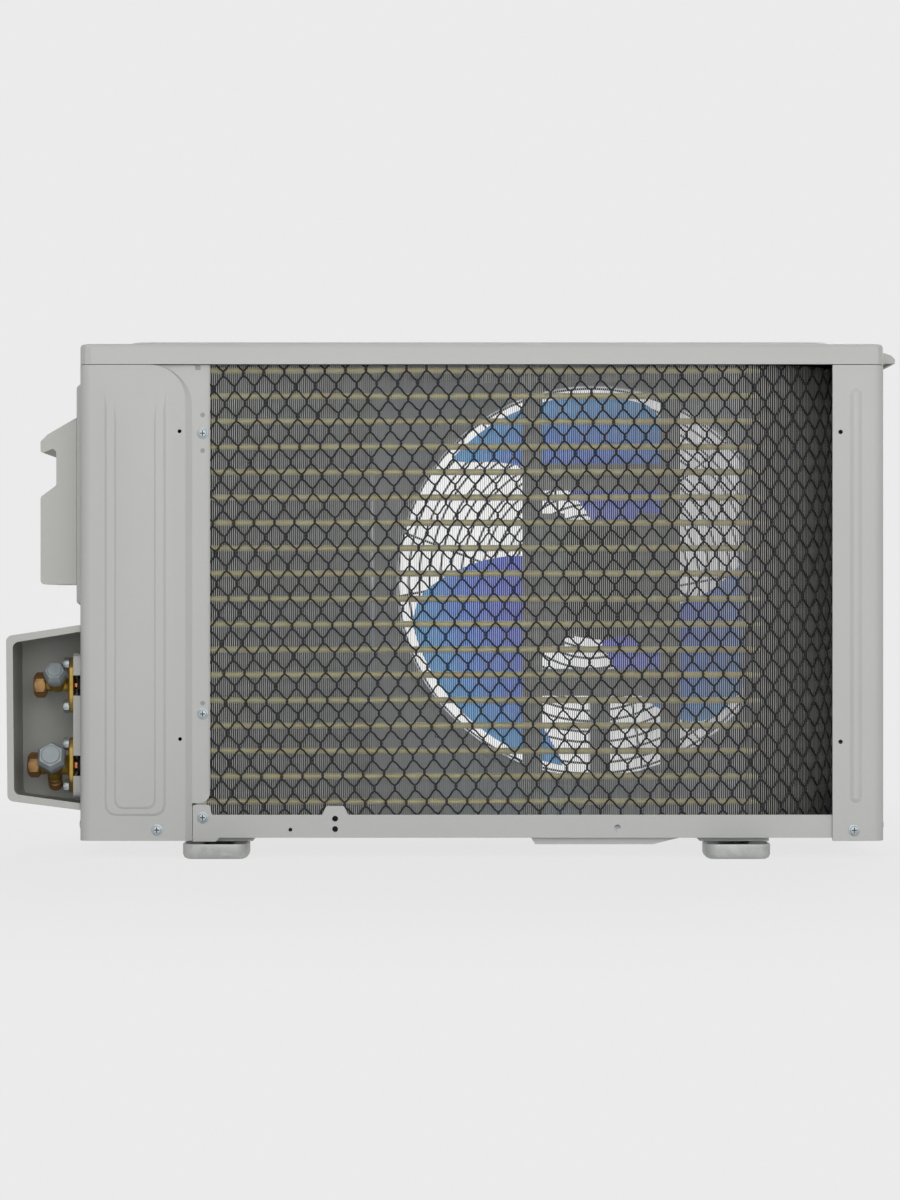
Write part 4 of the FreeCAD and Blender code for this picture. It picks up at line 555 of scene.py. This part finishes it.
def coil_route(inset, start, end, steps):
    """Plan of the coil at a depth below its outer face, as points at height zero."""
    radius = coil_bend - inset
    points = [Vector((start, fins_low.y + inset, 0))]
    for i in range(steps + 1):
        angle = math.pi / 2 * i / steps
        points.append(Vector((coil_bend_x + radius * math.sin(angle),
                              coil_bend_y - radius * math.cos(angle), 0)))
    points.append(Vector((fins_high.x - inset, end, 0)))
    return points


def stations(path, pitch):
    """Points and directions at equal steps along a path."""
    found = []
    carry = pitch / 2
    for start, end in zip(path[:-1], path[1:]):
        way = end - start
        length = way.length
        way.normalize()
        while carry < length:
            found.append((start + way * carry, way))
            carry += pitch
        carry -= length
    return found


def coil_fins(material, shade):
    """Thin fins, each leaning a little its own way; the flanks have the second material, a painted
    shade.
    """
    build = Builder()
    chance = random.Random(4)
    path = coil_route(fin_reach / 2, fin_start, fins_high.y, 24)
    for place, way in stations(path, fin_pitch):
        side = way.cross(Z_AXIS)
        lean = way * chance.uniform(-fin_lean, fin_lean)
        corners = []
        for depth, thick in ((-1, -1), (1, -1), (1, 1), (-1, 1)):
            corners.append(place + side * (depth * fin_reach / 2) + way * (thick * fin_sheet / 2)
                           + (lean if depth > 0 else Vector()))
        low = [Vector((p.x, p.y, fins_low.z)) for p in corners]
        high = [Vector((p.x, p.y, fins_high.z)) for p in corners]
        build.add(low + high, [[0, 1, 5, 4], [2, 3, 7, 6], [3, 2, 1, 0], [4, 5, 6, 7]], 1)
        build.add([low[1], low[2], high[2], high[1]], [[0, 1, 2, 3]])
        build.add([low[3], low[0], high[0], high[3]], [[0, 1, 2, 3]])
    return build.done("coil_fins_thin", material, shade, sharp=20.0)


def end_plates(material):
    """The coil's end plates, with the left one moved out to where the photo's fins begin."""
    mesh = frame["nodes"]["coil_end_plates"].data.copy()
    mesh.materials.clear()
    mesh.materials.append(material)
    for vertex in mesh.vertices:
        if fin_start < vertex.co.x < fins_low.x + end_plate_zone:
            vertex.co.x += fin_start - fins_low.x
    piece = bpy.data.objects.new("coil_end_plates_shaped", mesh)
    bpy.context.scene.collection.objects.link(piece)
    smooth(piece)
    return piece


def coil_tubes(material):
    """Rows of tube along the coil, joined by bends at its far end and its start."""
    build = Builder()
    top = fins_high.z - fin_over_top
    bottom = fins_low.z + fin_over_bottom
    pitch = (top - bottom) / (tube_rows - 1)
    path = coil_route(fin_depth / 2, fins_low.x - tube_past_start, fins_high.y + tube_past_end, 10)
    for row in range(tube_rows):
        z = top - row * pitch
        build.sweep([Vector((p.x, p.y, z)) for p in path], tube_radius, 12)
    half_turn = [math.pi * i / 10 for i in range(11)]
    for row in range(0, tube_rows, 2):
        z = top - (row + 0.5) * pitch
        build.sweep([Vector((path[-1].x, path[-1].y + pitch / 2 * math.sin(a),
                             z + pitch / 2 * math.cos(a))) for a in half_turn], tube_radius, 12)
    for row in range(1, tube_rows - 1, 2):
        z = top - (row + 0.5) * pitch
        build.sweep([Vector((path[0].x - start_bend_reach * pitch / 2 * math.sin(a), path[0].y,
                             z + pitch / 2 * math.cos(a))) for a in half_turn], tube_radius, 12)
    return build.done("coil_tubes_round", material)


# Guard net

def guard_net(material):
    """Extruded net: strands part from tall knots and follow the coil's bend."""
    low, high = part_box("guard_net")
    gap = fins_low.y - (low.y + strand_radius * strand_inset)
    path = coil_route(-gap, low.x, high.y, 12)
    marks = [0.0]
    for start, end in zip(path[:-1], path[1:]):
        marks.append(marks[-1] + (end - start).length)

    def place(run, z, lift=0.0):
        """Point of the net a run along its plan and at a height, lifted off its surface."""
        run = min(max(run, 0.0), marks[-1] - weld)
        index = max(i for i in range(len(path) - 1) if marks[i] <= run)
        way = (path[index + 1] - path[index]).normalized()
        point = path[index] + way * (run - marks[index])
        out = way.cross(Z_AXIS)
        return Vector((point.x + out.x * lift, point.y + out.y * lift,
                       min(max(z, low.z), high.z)))

    build = Builder()
    chance = random.Random(11)
    half_w, half_h = mesh_width / 2, mesh_height / 2
    knots = {}
    for a in net_columns:
        for b in net_rows:
            run = knot_x - low.x + a * half_w + mesh_lean * b * half_h
            z = knot_z - b * half_h + mesh_rise * a * half_w
            near = (-half_w < run < marks[-1] + half_w
                    and low.z - half_h < z < high.z + half_h)
            if (a + b) % 2 == 0 and near:
                knots[a, b] = (run + chance.uniform(-knot_drift, knot_drift),
                               z + chance.uniform(-knot_drift, knot_drift))
    for (a, b), (run, z) in knots.items():
        if 0.0 < run < marks[-1] and low.z < z < high.z:
            tall = knot_reach + chance.uniform(*knot_stretch)
            rings = []
            for share, width in knot_outline:
                centre = place(run, z + share * tall)
                out = (place(run, z, knot_lift) - place(run, z)).normalized()
                side = out.cross(Z_AXIS)
                reach = strand_radius * width
                rings.append([centre + side * (reach * knot_breadth * math.cos(math.pi * j / 3))
                              + out * (reach * math.sin(math.pi * j / 3)) for j in range(6)])
            build.rings(rings)
        for turn in (-1, 1):
            other = knots.get((a + 1, b + turn))
            if other is None:
                continue
            z0 = z - turn * knot_reach * strand_leave
            z1 = other[1] + turn * knot_reach * strand_leave
            line = []
            for i in range(5):
                t = i / 4
                bow = t + strand_bow * math.sin(2 * math.pi * t)
                line.append((run + (other[0] - run) * bow, z0 + (z1 - z0) * t))
            line = [(r, h) for r, h in line if 0.0 <= r <= marks[-1] and low.z <= h <= high.z]
            if len(line) > 1:
                build.sweep([place(r, h) for r, h in line], strand_radius, 6)
    return build.done("guard_net_strands", material)


# Fan and its guard

def joint(name):
    """Place and direction of a joint; a slide has no place."""
    found = next(item for item in frame["joints"] if item["name"] == name)
    return Vector(found.get("pos_m", (0, 0, 0))), Vector(found["axis"]).normalized()


fan_axis = joint("fan_spin")[0]
hub_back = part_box("fan")[0].y


def blade_angle(edge, radius):
    """Where an edge of a blade lies at a radius, in degrees."""
    root, gain, curl = edge
    tip = max(0.0, (radius - (1 - blade_tip) * fan_radius) / (blade_tip * fan_radius))
    return root + gain * (radius - blade_root) + curl * tip * tip


def fan(material):
    """Hub and swept blades, thin at their edges and merged where they meet."""
    build = Builder()
    end = hub_back + hub_length
    origin = Vector((fan_axis.x, 0, fan_axis.z))
    profile = [(boss_radius, hub_back + boss_set_in), (boss_radius, end - hub_wall),
               (hub_radius - hub_wall, end - hub_wall), (hub_radius - hub_wall, hub_back),
               (hub_radius, hub_back), (hub_radius, end - hub_rounding)]
    for i in range(1, 6):
        angle = math.pi / 2 * i / 5
        profile.append((hub_radius - hub_rounding + hub_rounding * math.cos(angle),
                        end - hub_rounding + hub_rounding * math.sin(angle)))
    profile += [(nut_seat_radius, end), (shaft_bore, end), (shaft_bore, hub_back + boss_set_in)]
    build.lathe(profile, origin, Y_AXIS, 64, closed=True)
    for blade in range(blade_count):
        turn = 360 * blade / blade_count
        grid = []
        for i in range(blade_rows + 1):
            radius = (hub_radius - blade_foot
                      + (fan_radius - hub_radius + blade_foot) * i / blade_rows)
            first = blade_angle(blade_first_edge, radius)
            second = blade_angle(blade_second_edge, radius)
            depth = blade_root_depth + blade_depth_gain * (radius - blade_root)
            row = []
            for j in range(blade_columns + 1):
                share = j / blade_columns
                angle = math.radians(first + (second - first) * share + turn)
                y = (hub_back + blade_set_in + (1 - blade_camber) * depth * (1 - share)
                     + blade_camber * depth * math.sin(math.pi * share))
                row.append(Vector((fan_axis.x + radius * math.cos(angle), y,
                                   fan_axis.z + radius * math.sin(angle))))
            grid.append(row)
        for row_low, row_high in zip(grid[:-1], grid[1:]):
            rings = []
            for j in range(blade_columns + 1):
                inward = min(j, blade_columns - j) / blade_columns
                edge = min(1.0, blade_edge_rise * inward + blade_edge_thin)
                half = Vector((0, blade_sheet / 2 * edge, 0))
                middle = Vector((0, blade_sheet / 2, 0))
                a, b = row_low[j] + middle, row_high[j] + middle
                rings.append([a - half, b - half, b + half, a + half])
            build.rings(rings)
    piece = build.done("fan_moulding", material, sharp=60.0)
    work = bmesh.new()
    work.from_mesh(piece.data)
    bmesh.ops.remove_doubles(work, verts=work.verts, dist=weld)
    doubled = [face for face in work.faces if all(len(edge.link_faces) > 2 for edge in face.edges)]
    bmesh.ops.delete(work, geom=doubled, context="FACES")
    work.to_mesh(piece.data)
    work.free()
    smooth(piece, 50.0)
    return piece


def fan_guard(material):
    """Rings and leaning spokes of round wire, a pressed disc and the feet that the CAD has."""
    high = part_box("fan_guard")[1]
    face = high.y - guard_wire
    back = face - 2 * guard_wire
    build = Builder()
    groups = [span(group) for group in islands("fan_guard")]
    outer = max((b.x - a.x) / 2 for a, b in groups
                if abs((a.x + b.x) / 2 - fan_axis.x) < 0.002) - 2 * guard_wire
    radii = []
    radius = guard_disc + ring_pitch
    while radius < outer - ring_pitch / 2:
        radii.append((radius, guard_wire))
        radius += ring_pitch
    radii.append((outer, rim_wire))
    for radius, thick in radii:
        path = [Vector((fan_axis.x + radius * math.cos(a), face, fan_axis.z + radius * math.sin(a)))
                for a in (2 * math.pi * i / 72 for i in range(72))]
        build.sweep(path, thick, closed=True)
    inner = guard_disc - spoke_overlap
    for i in range(spoke_count):
        angle = math.radians(360 * i / spoke_count + spoke_turn)
        far = angle + math.radians(spoke_lean if i % 2 else -spoke_lean)
        start, end = (Vector((fan_axis.x + radius * math.cos(a), back,
                              fan_axis.z + radius * math.sin(a)))
                      for radius, a in ((inner, angle), (outer, far)))
        build.sweep([start.lerp(end, t / 4) for t in range(5)], guard_wire)
    disc = [(centre_point, back), (guard_disc - disc_cone, back), (guard_disc, face - disc_edge),
            (guard_disc, face + guard_wire * 0.6), (guard_disc - disc_bead, face + guard_wire * 0.9),
            (guard_disc - disc_dish, face + guard_wire * 0.5), (centre_point, face)]
    build.lathe(disc, Vector((fan_axis.x, 0, fan_axis.z)), Y_AXIS, 48)
    for a, b in groups:
        if b.y - a.y > guard_foot_least_length and b.x - a.x < guard_foot_most_width:
            middle = (a + b) / 2
            build.lathe([(guard_foot_hole, a.y), (guard_foot, a.y), (guard_foot, face),
                         (guard_foot_hole, face)],
                        Vector((middle.x, 0, middle.z)), Y_AXIS, 24, closed=True)
    return build.done("fan_guard_wires", material)


# Screws

def cross_reach(arm, half):
    """Outline of a cross recess as a distance over the angle."""
    def at(angle):
        offset = abs((angle + math.pi / 4) % (math.pi / 2) - math.pi / 4)
        return arm / math.cos(offset) if math.tan(offset) <= half / arm else half / math.sin(offset)
    return at


def screw_heads(node, name, material, shade):
    """Pan heads on washers with a sunk cross recess, at the seats of a CAD group of screws."""
    build = Builder()
    for group in islands(node):
        low, high = span(group)
        size = high - low
        # The shank's direction is the one whose size is least like the other two
        order = sorted(range(3), key=lambda i: min(abs(size[i] - size[j])
                                                   for j in range(3) if j != i))
        along = order[-1]
        width = size[order[0]]
        axis = Vector([1.0 if i == along else 0.0 for i in range(3)])
        centre = (low + high) / 2
        wide = [p for p in group
                if (p - centre - axis * (p - centre).dot(axis)).length > width * head_zone]
        if sum(p[along] for p in wide) / len(wide) < centre[along]:
            axis = -axis
        seat = centre.copy()
        seat[along] = min((p[along] for p in wide), key=lambda v: v * axis[along])
        radius = width / 2 * head_share
        across, up = cross_frame(axis)
        arm, half = radius * recess_arm, radius * recess_half
        corner = math.atan(half / arm)
        angles = [math.pi / 2 * quarter + offset for quarter in range(4)
                  for offset in (-math.pi / 4, -math.pi / 7, -corner, -corner / 2, 0.0,
                                 corner / 2, corner, math.pi / 7)]
        outline = [(head_centre, 0)]
        outline += [(radius * share, height) for share, height in head_outline]
        outline += [(cross_reach(arm, half), head_top),
                    (cross_reach(arm * recess_taper, half * recess_taper), head_top - recess_depth)]
        rings = []
        for reach, height in outline:
            rings.append([seat + axis * height + (across * math.cos(a) + up * math.sin(a))
                          * (reach(a) if callable(reach) else reach) for a in angles])
        # The recess walls and floor take the second material, a painted shade
        build.rings(rings, shaded=(len(rings) - 2, len(rings) - 1))
    return build.done(name, material, shade)


# Valves

def valve(side, pipe, waist, flats, material):
    """Forged body with flange, waist, threaded spigot and bosses."""
    build = Builder()
    centre = joint(side + "_stem_turn")[0]
    flange_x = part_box(side + "_valve")[1].x
    plate_x = flange_x - flange_thick
    half_w, half_h = flange_half
    corners = [(flange_cut[0] * half_w, half_h), (half_w, flange_cut[1] * half_h)]
    corners += [(u, -v) for u, v in reversed(corners)]
    corners += [(-u, -v) for u, v in corners]
    outline = []
    for i, (u, v) in enumerate(corners):
        before, after = ((u + (other[0] - u) * flange_corner, v + (other[1] - v) * flange_corner)
                         for other in (corners[i - 1], corners[(i + 1) % len(corners)]))
        outline += [before, (u * flange_pull[0], v * flange_pull[1]), after]
    rings = []
    for inset, x in ((front_chamfer, flange_x), (0.0, flange_x - front_chamfer),
                     (0.0, plate_x + back_chamfer), (back_chamfer, plate_x)):
        rings.append([Vector((x, centre.y + u * (1 - inset / half_w),
                              centre.z + v * (1 - inset / half_h))) for u, v in outline])
    build.rings(rings)
    start = Vector((plate_x, centre.y, centre.z))
    reach = plate_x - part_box(side + "_nut")[1].x - nut_gap
    build.lathe([(waist * share, distance) for share, distance in neck_foot]
                + [(waist * share, reach - distance) for share, distance in neck_end],
                start, -X_AXIS)
    thread = pipe + spigot_wall
    profile = [(thread * spigot_foot[0], reach - spigot_foot[1])]
    for i in range(thread_turns):
        profile.append((thread * thread_groove, reach + thread_pitch / 2 + i * thread_pitch))
        profile.append((thread, reach + thread_pitch + i * thread_pitch))
    profile += [(pipe * spigot_lip, reach + spigot_length),
                (pipe * spigot_bore, reach + spigot_length),
                (pipe * spigot_bore, reach + spigot_bore_end)]
    build.lathe(profile, start, -X_AXIS)
    way = joint(side + "_cap_off")[1]
    boss = flats * stem_boss_share
    build.lathe([(boss * 0.9, 0.0), (boss, 0.003), (boss, stem_boss - boss_chamfer),
                 (boss * 0.94, stem_boss)]
                + [(flats * share, distance) for share, distance in cap_neck], centre, way)
    if side == "gas":
        build.lathe(port_outline, centre, joint("port_cap_off")[1])
    return build.done(side + "_valve_forging", material)


def cap(side, flats, corner, material):
    """Hollow hexagon cap: chamfered mouth, six-sided pyramid and a raised disc."""
    build = Builder()
    way = joint(side + "_cap_off")[1]
    start = joint(side + "_stem_turn")[0] + way * cap_start
    bore = flats * cap_bore
    profile = [(flats, centre_point, cap_bore_depth), (flats, bore, cap_bore_depth),
               (flats, bore, 0.0)]
    profile += [(flats * width, flats * limit, distance) for width, limit, distance in cap_outline]
    profile.append((flats, centre_point, cap_length + cap_face))
    build.hexagon(profile, start, way, corner)
    return build.done(side + "_cap_hex", material, sharp=25.0)


def nut(side, pipe, material):
    """Flare nut: hexagon chamfered at both ends, thread bore and a short nose."""
    low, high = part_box(side + "_nut")
    centre = Vector((high.x, (low.y + high.y) / 2, (low.z + high.z) / 2))
    flats = hex_nut
    length = high.x - low.x
    body = length - nut_nose
    thread = pipe + nut_wall
    build = Builder()
    profile = [(flats, thread, 0.0)]
    profile += [(flats, flats * limit, distance) for limit, distance in nut_mouth]
    profile += [(flats, flats * limit, body - distance) for limit, distance in nut_end]
    profile += [(flats, flats * nut_nose_share, length), (flats, pipe, length),
                (flats, pipe, nut_seat), (flats, thread, nut_thread_end)]
    build.hexagon(profile, centre, -X_AXIS, Z_AXIS, closed=True)
    return build.done(side + "_nut_hex", material, sharp=25.0)


def port_cap(material):
    """Small hollow cap turned with a groove between two rings."""
    build = Builder()
    way = joint("port_cap_off")[1]
    build.lathe(port_cap_outline, joint("gas_stem_turn")[0] + way * port_cap_start, way)
    return build.done("port_cap_turned", material)


def flange_bolts(material):
    """Hexagon heads with the corners turned off."""
    build = Builder()
    profile = [(bolt_hex, head_centre, 0.0)]
    profile += [(bolt_hex, bolt_hex * limit, distance) for limit, distance in bolt_outline]
    profile.append((bolt_hex, head_centre, bolt_head))
    for group in islands("valve_bolts"):
        low, high = span(group)
        seat = Vector((low.x + bolt_head, (low.y + high.y) / 2, (low.z + high.z) / 2))
        build.hexagon(profile, seat, -X_AXIS, Z_AXIS)
    return build.done("valve_bolt_heads", material, sharp=25.0)


# Stage, light and camera

def backdrop_rays(tree):
    """One for rays that show the backdrop itself: seen, mirrored or seen through."""
    path = put(tree, "ShaderNodeLightPath")
    both = put(tree, "ShaderNodeMath", {"operation": "MAXIMUM"},
               {0: path.outputs["Is Camera Ray"], 1: path.outputs["Is Glossy Ray"]})
    return put(tree, "ShaderNodeMath", {"operation": "MAXIMUM"},
               {0: both.outputs[0], 1: path.outputs["Is Transmission Ray"]}).outputs[0]


def flat_backdrop(name, code, share):
    """Even pale ground; near the object a share of it is lit paper that keeps the shadow."""
    material, tree = blank(name)
    seen = put(tree, "ShaderNodeEmission", inputs={"Color": linear(code), "Strength": 1.0})
    paper = put(tree, "ShaderNodeBsdfDiffuse", inputs={"Color": linear(code, paper_white)})
    place = put(tree, "ShaderNodeTexCoord").outputs["Object"]
    reach = put(tree, "ShaderNodeVectorMath", {"operation": "LENGTH"}, {0: place})
    near = put(tree, "ShaderNodeMapRange",
               inputs={"Value": reach.outputs["Value"], "From Min": shadow_near,
                       "From Max": shadow_far, "To Min": 1.0 - share, "To Max": 1.0})
    even = put(tree, "ShaderNodeMath", {"operation": "MULTIPLY"},
               {0: backdrop_rays(tree), 1: near.outputs[0]})
    mix = put(tree, "ShaderNodeMixShader",
              inputs={0: even.outputs[0], 1: paper.outputs[0], 2: seen.outputs[0]})
    put(tree, "ShaderNodeOutputMaterial", inputs={"Surface": mix.outputs[0]})
    return material


def stage():
    """Floor and surroundings in the same pale colour."""
    floor = Builder()
    corners = ((-1, -1), (1, -1), (1, 1), (-1, 1))
    floor.add([Vector((x * floor_half, y * floor_half, -floor_drop)) for x, y in corners],
              [[0, 1, 2, 3]])
    backdrop = flat_backdrop("pale_studio_paper", ground, shadow_share)
    floor.done("studio_floor", backdrop)
    world = bpy.data.worlds.new("studio")
    bpy.context.scene.world = world
    world.use_nodes = True
    tree = world.node_tree
    tree.nodes.clear()
    seen = put(tree, "ShaderNodeBackground", inputs={"Color": linear(ground), "Strength": 1.0})
    lit = put(tree, "ShaderNodeBackground",
              inputs={"Color": (1.0, 1.0, 0.99, 1.0), "Strength": room_light})
    mix = put(tree, "ShaderNodeMixShader",
              inputs={0: backdrop_rays(tree), 1: lit.outputs[0], 2: seen.outputs[0]})
    put(tree, "ShaderNodeOutputWorld", inputs={"Surface": mix.outputs[0]})


def lamp(name, place, target, size, power):
    """Soft box that the camera doesn't see, turned to a target."""
    light = bpy.data.lights.new(name, "AREA")
    light.shape = "RECTANGLE"
    light.size, light.size_y = size
    light.energy = power
    piece = bpy.data.objects.new(name, light)
    piece.location = place
    piece.rotation_euler = (Vector(target) - Vector(place)).to_track_quat("-Z", "Y").to_euler()
    piece.visible_camera = False
    bpy.context.scene.collection.objects.link(piece)


def camera():
    """Level camera square to the rear plane, as in the photograph."""
    data = bpy.data.cameras.new("photo_camera")
    data.sensor_width = sensor
    data.sensor_fit = "AUTO"
    data.lens = lens
    data.clip_end = 50.0
    eye = bpy.data.objects.new("photo_camera", data)
    eye.location = (camera_x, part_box("coil_side_panel")[0].y - camera_gap, camera_z)
    eye.rotation_euler = (math.pi / 2, 0, 0)
    bpy.context.scene.collection.objects.link(eye)
    bpy.context.scene.camera = eye
    bpy.context.scene.view_settings.view_transform = "Standard"


# Powder-coated sheet steel: a soft satin sheen over a faint orange peel about 0.7 mm wide
paint = surface("satin_powder_coat_grey", [(0.3, "b4b5b2"), (0.7, "babbb8")],
                rough=(0.42, 0.5), cloud=200, grain=0.7, bump=0.05)
# Moulded ABS: duller than the sheet, its etched grain drawn 0.9 mm wide so that it shows
grey_plastic = surface("grained_grey_abs", [(0.3, "b0b1ac"), (0.7, "b5b6b1")],
                       rough=(0.5, 0.6), cloud=110, grain=0.9, bump=0.12)
# Hot-dip galvanised feet, painted over thinly: pale, with crystals 6 mm wide just showing through
foot_steel = galvanised_sheet("washed_galvanised_foot",
                              [(0.3, "9fa19f"), (0.65, "adafad"), (1.0, "babcba")], (0.4, 0.55))
# Hot-dip galvanised sheet: crystals 6 mm wide, each with a brightness of its own
inner_steel = galvanised_sheet("dull_galvanised_bracket", [(0.3, "7a7b79"), (0.9, "989a98")],
                               (0.45, 0.6))
# Mill-finish aluminium fins: pale edges that pick up the light as fine lines
fin_metal = surface("mill_finish_aluminium_fin", [(0.25, "c2c4c0"), (0.75, "d2d3d0")],
                    rough=(0.4, 0.55), cloud=17, grain=0.4, bump=0.08, metal=0.3,
                    stretch=(1, 1, 0.15))
# Flanks of the same fins in painted shade, a darker copy of the fin metal, so that the gaps between
# the bright edges stay dark
fin_flank = surface("painted_shade_aluminium_fin_flank", [(0.25, "2f2e27"), (0.75, "3f3e36")],
                    rough=(0.6, 0.7), cloud=17, grain=0.4, bump=0.08, metal=0.1,
                    stretch=(1, 1, 0.15))
# Drawn copper under an olive-yellow film, with warmer patches some 11 mm long
tube_metal = surface("filmed_copper_tube", [(0.25, "cdb15c"), (0.5, "d3ca6c"), (0.8, "e2db96")],
                     rough=(0.4, 0.55), cloud=11, grain=0.8, bump=0.05, metal=0.15)
# Extruded polyethylene: near black with a dull waxy sheen
net_plastic = surface("black_polyethylene_net", [(0.3, "0c0c0d"), (0.7, "141416")],
                      rough=(0.5, 0.65), cloud=12, grain=0.5, bump=0.1)
# Moulded black nylon: dark grey with a fine grain 0.7 mm wide
black_plastic = surface("moulded_black_nylon", [(0.3, "1a1b1d"), (0.7, "232427")],
                        rough=(0.4, 0.55), cloud=33, grain=0.7, bump=0.1)
# Glossy blue polypropylene with painted light: darker violet at the hub to light blue at the tips,
# and a painted glow for daylight through the thin blades
blue_plastic = fan_plastic("blue_polypropylene_painted_light", fan_axis,
                           [(0.0, "4038b4"), (0.4, "2a54d2"), (0.75, "1c7fe0"), (1.0, "23a4e6")],
                           glow=0.33)
# Baked enamel: smooth and dark, with long soft highlights
motor_paint = surface("dark_motor_enamel", [(0.3, "2b2c2e"), (0.7, "353638")],
                      rough=(0.35, 0.45), cloud=40, grain=1.4, bump=0.04)
# The same enamel glossier and blacker, on the pressure shells
black_enamel = surface("gloss_black_enamel", [(0.3, "151617"), (0.7, "1c1d1f")],
                       rough=(0.2, 0.3), cloud=50, grain=2.0, bump=0.04)
# Forged brass: golden with brown scale in patches 8 mm wide, and a skin rough at 0.6 mm
brass = surface("forged_brass", [(0.25, "80652a"), (0.55, "a5873a"), (0.8, "c0a456")],
                rough=(0.36, 0.5), cloud=8, grain=0.6, bump=0.12, metal=0.7)
# Turned brass: warmer and smoother than the forging, with fine scoring and patches 11 mm wide
bright_brass = surface("turned_brass_nut", [(0.25, "80603a"), (0.6, "9f7a4a"), (0.8, "b8925c")],
                       rough=(0.45, 0.55), cloud=11, grain=0.7, bump=0.06, metal=0.55)
# Zinc plate, blue passivated: cool and cloudy, more sheen than mirror
blue_zinc = surface("blue_passivated_zinc", [(0.3, "828a8d"), (0.7, "949c9f")],
                    rough=(0.5, 0.6), cloud=14, grain=0.7, bump=0.06, metal=0.3)
# Bright zinc plate: pale blue-grey with small sharp highlights
zinc = surface("bright_zinc_screw", [(0.3, "949da1"), (0.7, "aeb6b9")],
               rough=(0.32, 0.45), cloud=5, grain=0.4, bump=0.08, metal=0.5)
# The same plate down in a recess, darkened as painted shade
recess_shade_zinc = surface("painted_shade_zinc_recess", [(0.3, "3c4245"), (0.7, "565d60")],
                      rough=(0.5, 0.65), cloud=3, grain=0.4, bump=0.1, metal=0.3)
# Drawn copper: orange-brown, a little tarnished in clouds 17 mm wide
copper = surface("drawn_copper_pipe", [(0.3, "9c5a3c"), (0.7, "c47a55")],
                 rough=(0.25, 0.4), cloud=17, grain=0.8, bump=0.05, metal=0.9)
# Closed-cell foam: soot black and matt, pitted at 1.1 mm
foam = surface("closed_cell_foam", [(0.3, "161617"), (0.7, "232324")],
               rough=(0.85, 0.95), cloud=7, grain=1.1, bump=0.6)
# Moulded rubber: matt black with a weak sheen
rubber = surface("black_rubber", [(0.3, "171717"), (0.7, "202020")],
                 rough=(0.6, 0.75), cloud=17, grain=1.1, bump=0.2)
# Filled thermoset of the terminals: cream, smooth and slightly glossy
cream = surface("cream_filled_thermoset", [(0.3, "d6d2c4"), (0.7, "dedacd")],
                rough=(0.3, 0.4), cloud=25, grain=1.1, bump=0.04)
# Dip-coated wire: black with a soft shine along each rod
wire_coat = surface("black_coated_wire", [(0.3, "1d1e20"), (0.7, "292a2d")],
                    rough=(0.3, 0.4), cloud=20, grain=1.1, bump=0.04)

# CAD nodes whose shape is right get a finish
for node in ("motor_bracket", "partition_plate", "electrical_plate", "capacitor_strap"):
    plain(node, inner_steel)
for node in ("compressor", "accumulator"):
    plain(node, black_enamel)
for node in ("terminal_cover", "run_capacitor", "cable_clamp"):
    plain(node, black_plastic)
for node in ("discharge_pipe", "suction_pipe", "liquid_pipe", "strainer", "capillary"):
    plain(node, copper)
for node in ("liquid_stem", "gas_stem", "port_core"):
    plain(node, brass)
for node in ("motor_screws", "mount_studs", "terminal_screws", "motor_shaft", "fan_nut"):
    plain(node, zinc)
plain("fan_motor", motor_paint)
plain("compressor_mounts", rubber)
plain("terminal_block", cream)
plain("pipe_sleeves", foam)

# Pieces made here stand in for the others
for node in ("base_pan", "top_cover", "valve_side_panel", "coil_side_panel", "front_panel",
             "access_plate", "valve_bracket"):
    softened(node, paint)
for node in ("valve_hood", "service_cover", "pull_handle"):
    softened(node, grey_plastic)
for node in ("foot_left", "foot_right"):
    softened(node, foot_steel, width=0.0008, sharp=30.0)
adopt(coil_fins(fin_metal, fin_flank), "cabinet", ["coil_fins"])
adopt(end_plates(inner_steel), "cabinet", ["coil_end_plates"])
adopt(coil_tubes(tube_metal), "cabinet", ["coil_tubes", "return_bends"])
adopt(guard_net(net_plastic), "cabinet", ["guard_net"])
adopt(fan(blue_plastic), "fan", ["fan"])
adopt(fan_guard(wire_coat), "cabinet", ["fan_guard"])
for node in ("panel_screws", "hood_screws", "cover_screw", "guard_screws"):
    adopt(screw_heads(node, node + "_heads", zinc, recess_shade_zinc), "cabinet", [node])
for side, pipe, waist, flats, corner in (("liquid", liquid_pipe, liquid_waist, hex_liquid, X_AXIS),
                                         ("gas", gas_pipe, gas_waist, hex_gas, Z_AXIS)):
    adopt(valve(side, pipe, waist, flats, brass), "cabinet", [side + "_valve"])
    adopt(cap(side, flats, corner, blue_zinc), side + "_cap", [side + "_cap"])
    adopt(nut(side, pipe, bright_brass), side + "_nut", [side + "_nut"])
adopt(port_cap(bright_brass), "port_cap", ["port_cap"])
adopt(flange_bolts(zinc), "cabinet", ["valve_bolts"])

stage()
# Key from the upper left, fill from the right, one at the eye, and daylight from the fan's side
rear_aim = (0, 0, 0.2)
lamp("key_softbox", place=(-1.2, -3.2, 2.4), target=rear_aim, size=(2.6, 1.8), power=27.0)
lamp("fill_softbox", place=(1.8, -3.0, 1.2), target=rear_aim, size=(2.0, 2.0), power=20.0)
lamp("eye_softbox", place=(0.0, -3.4, 0.6), target=rear_aim, size=(1.6, 1.2), power=27.0)
lamp("front_glow", place=(0.4, 2.6, 1.2), target=(0.1, 0, 0.25), size=(2.2, 1.8), power=60.0)
camera()
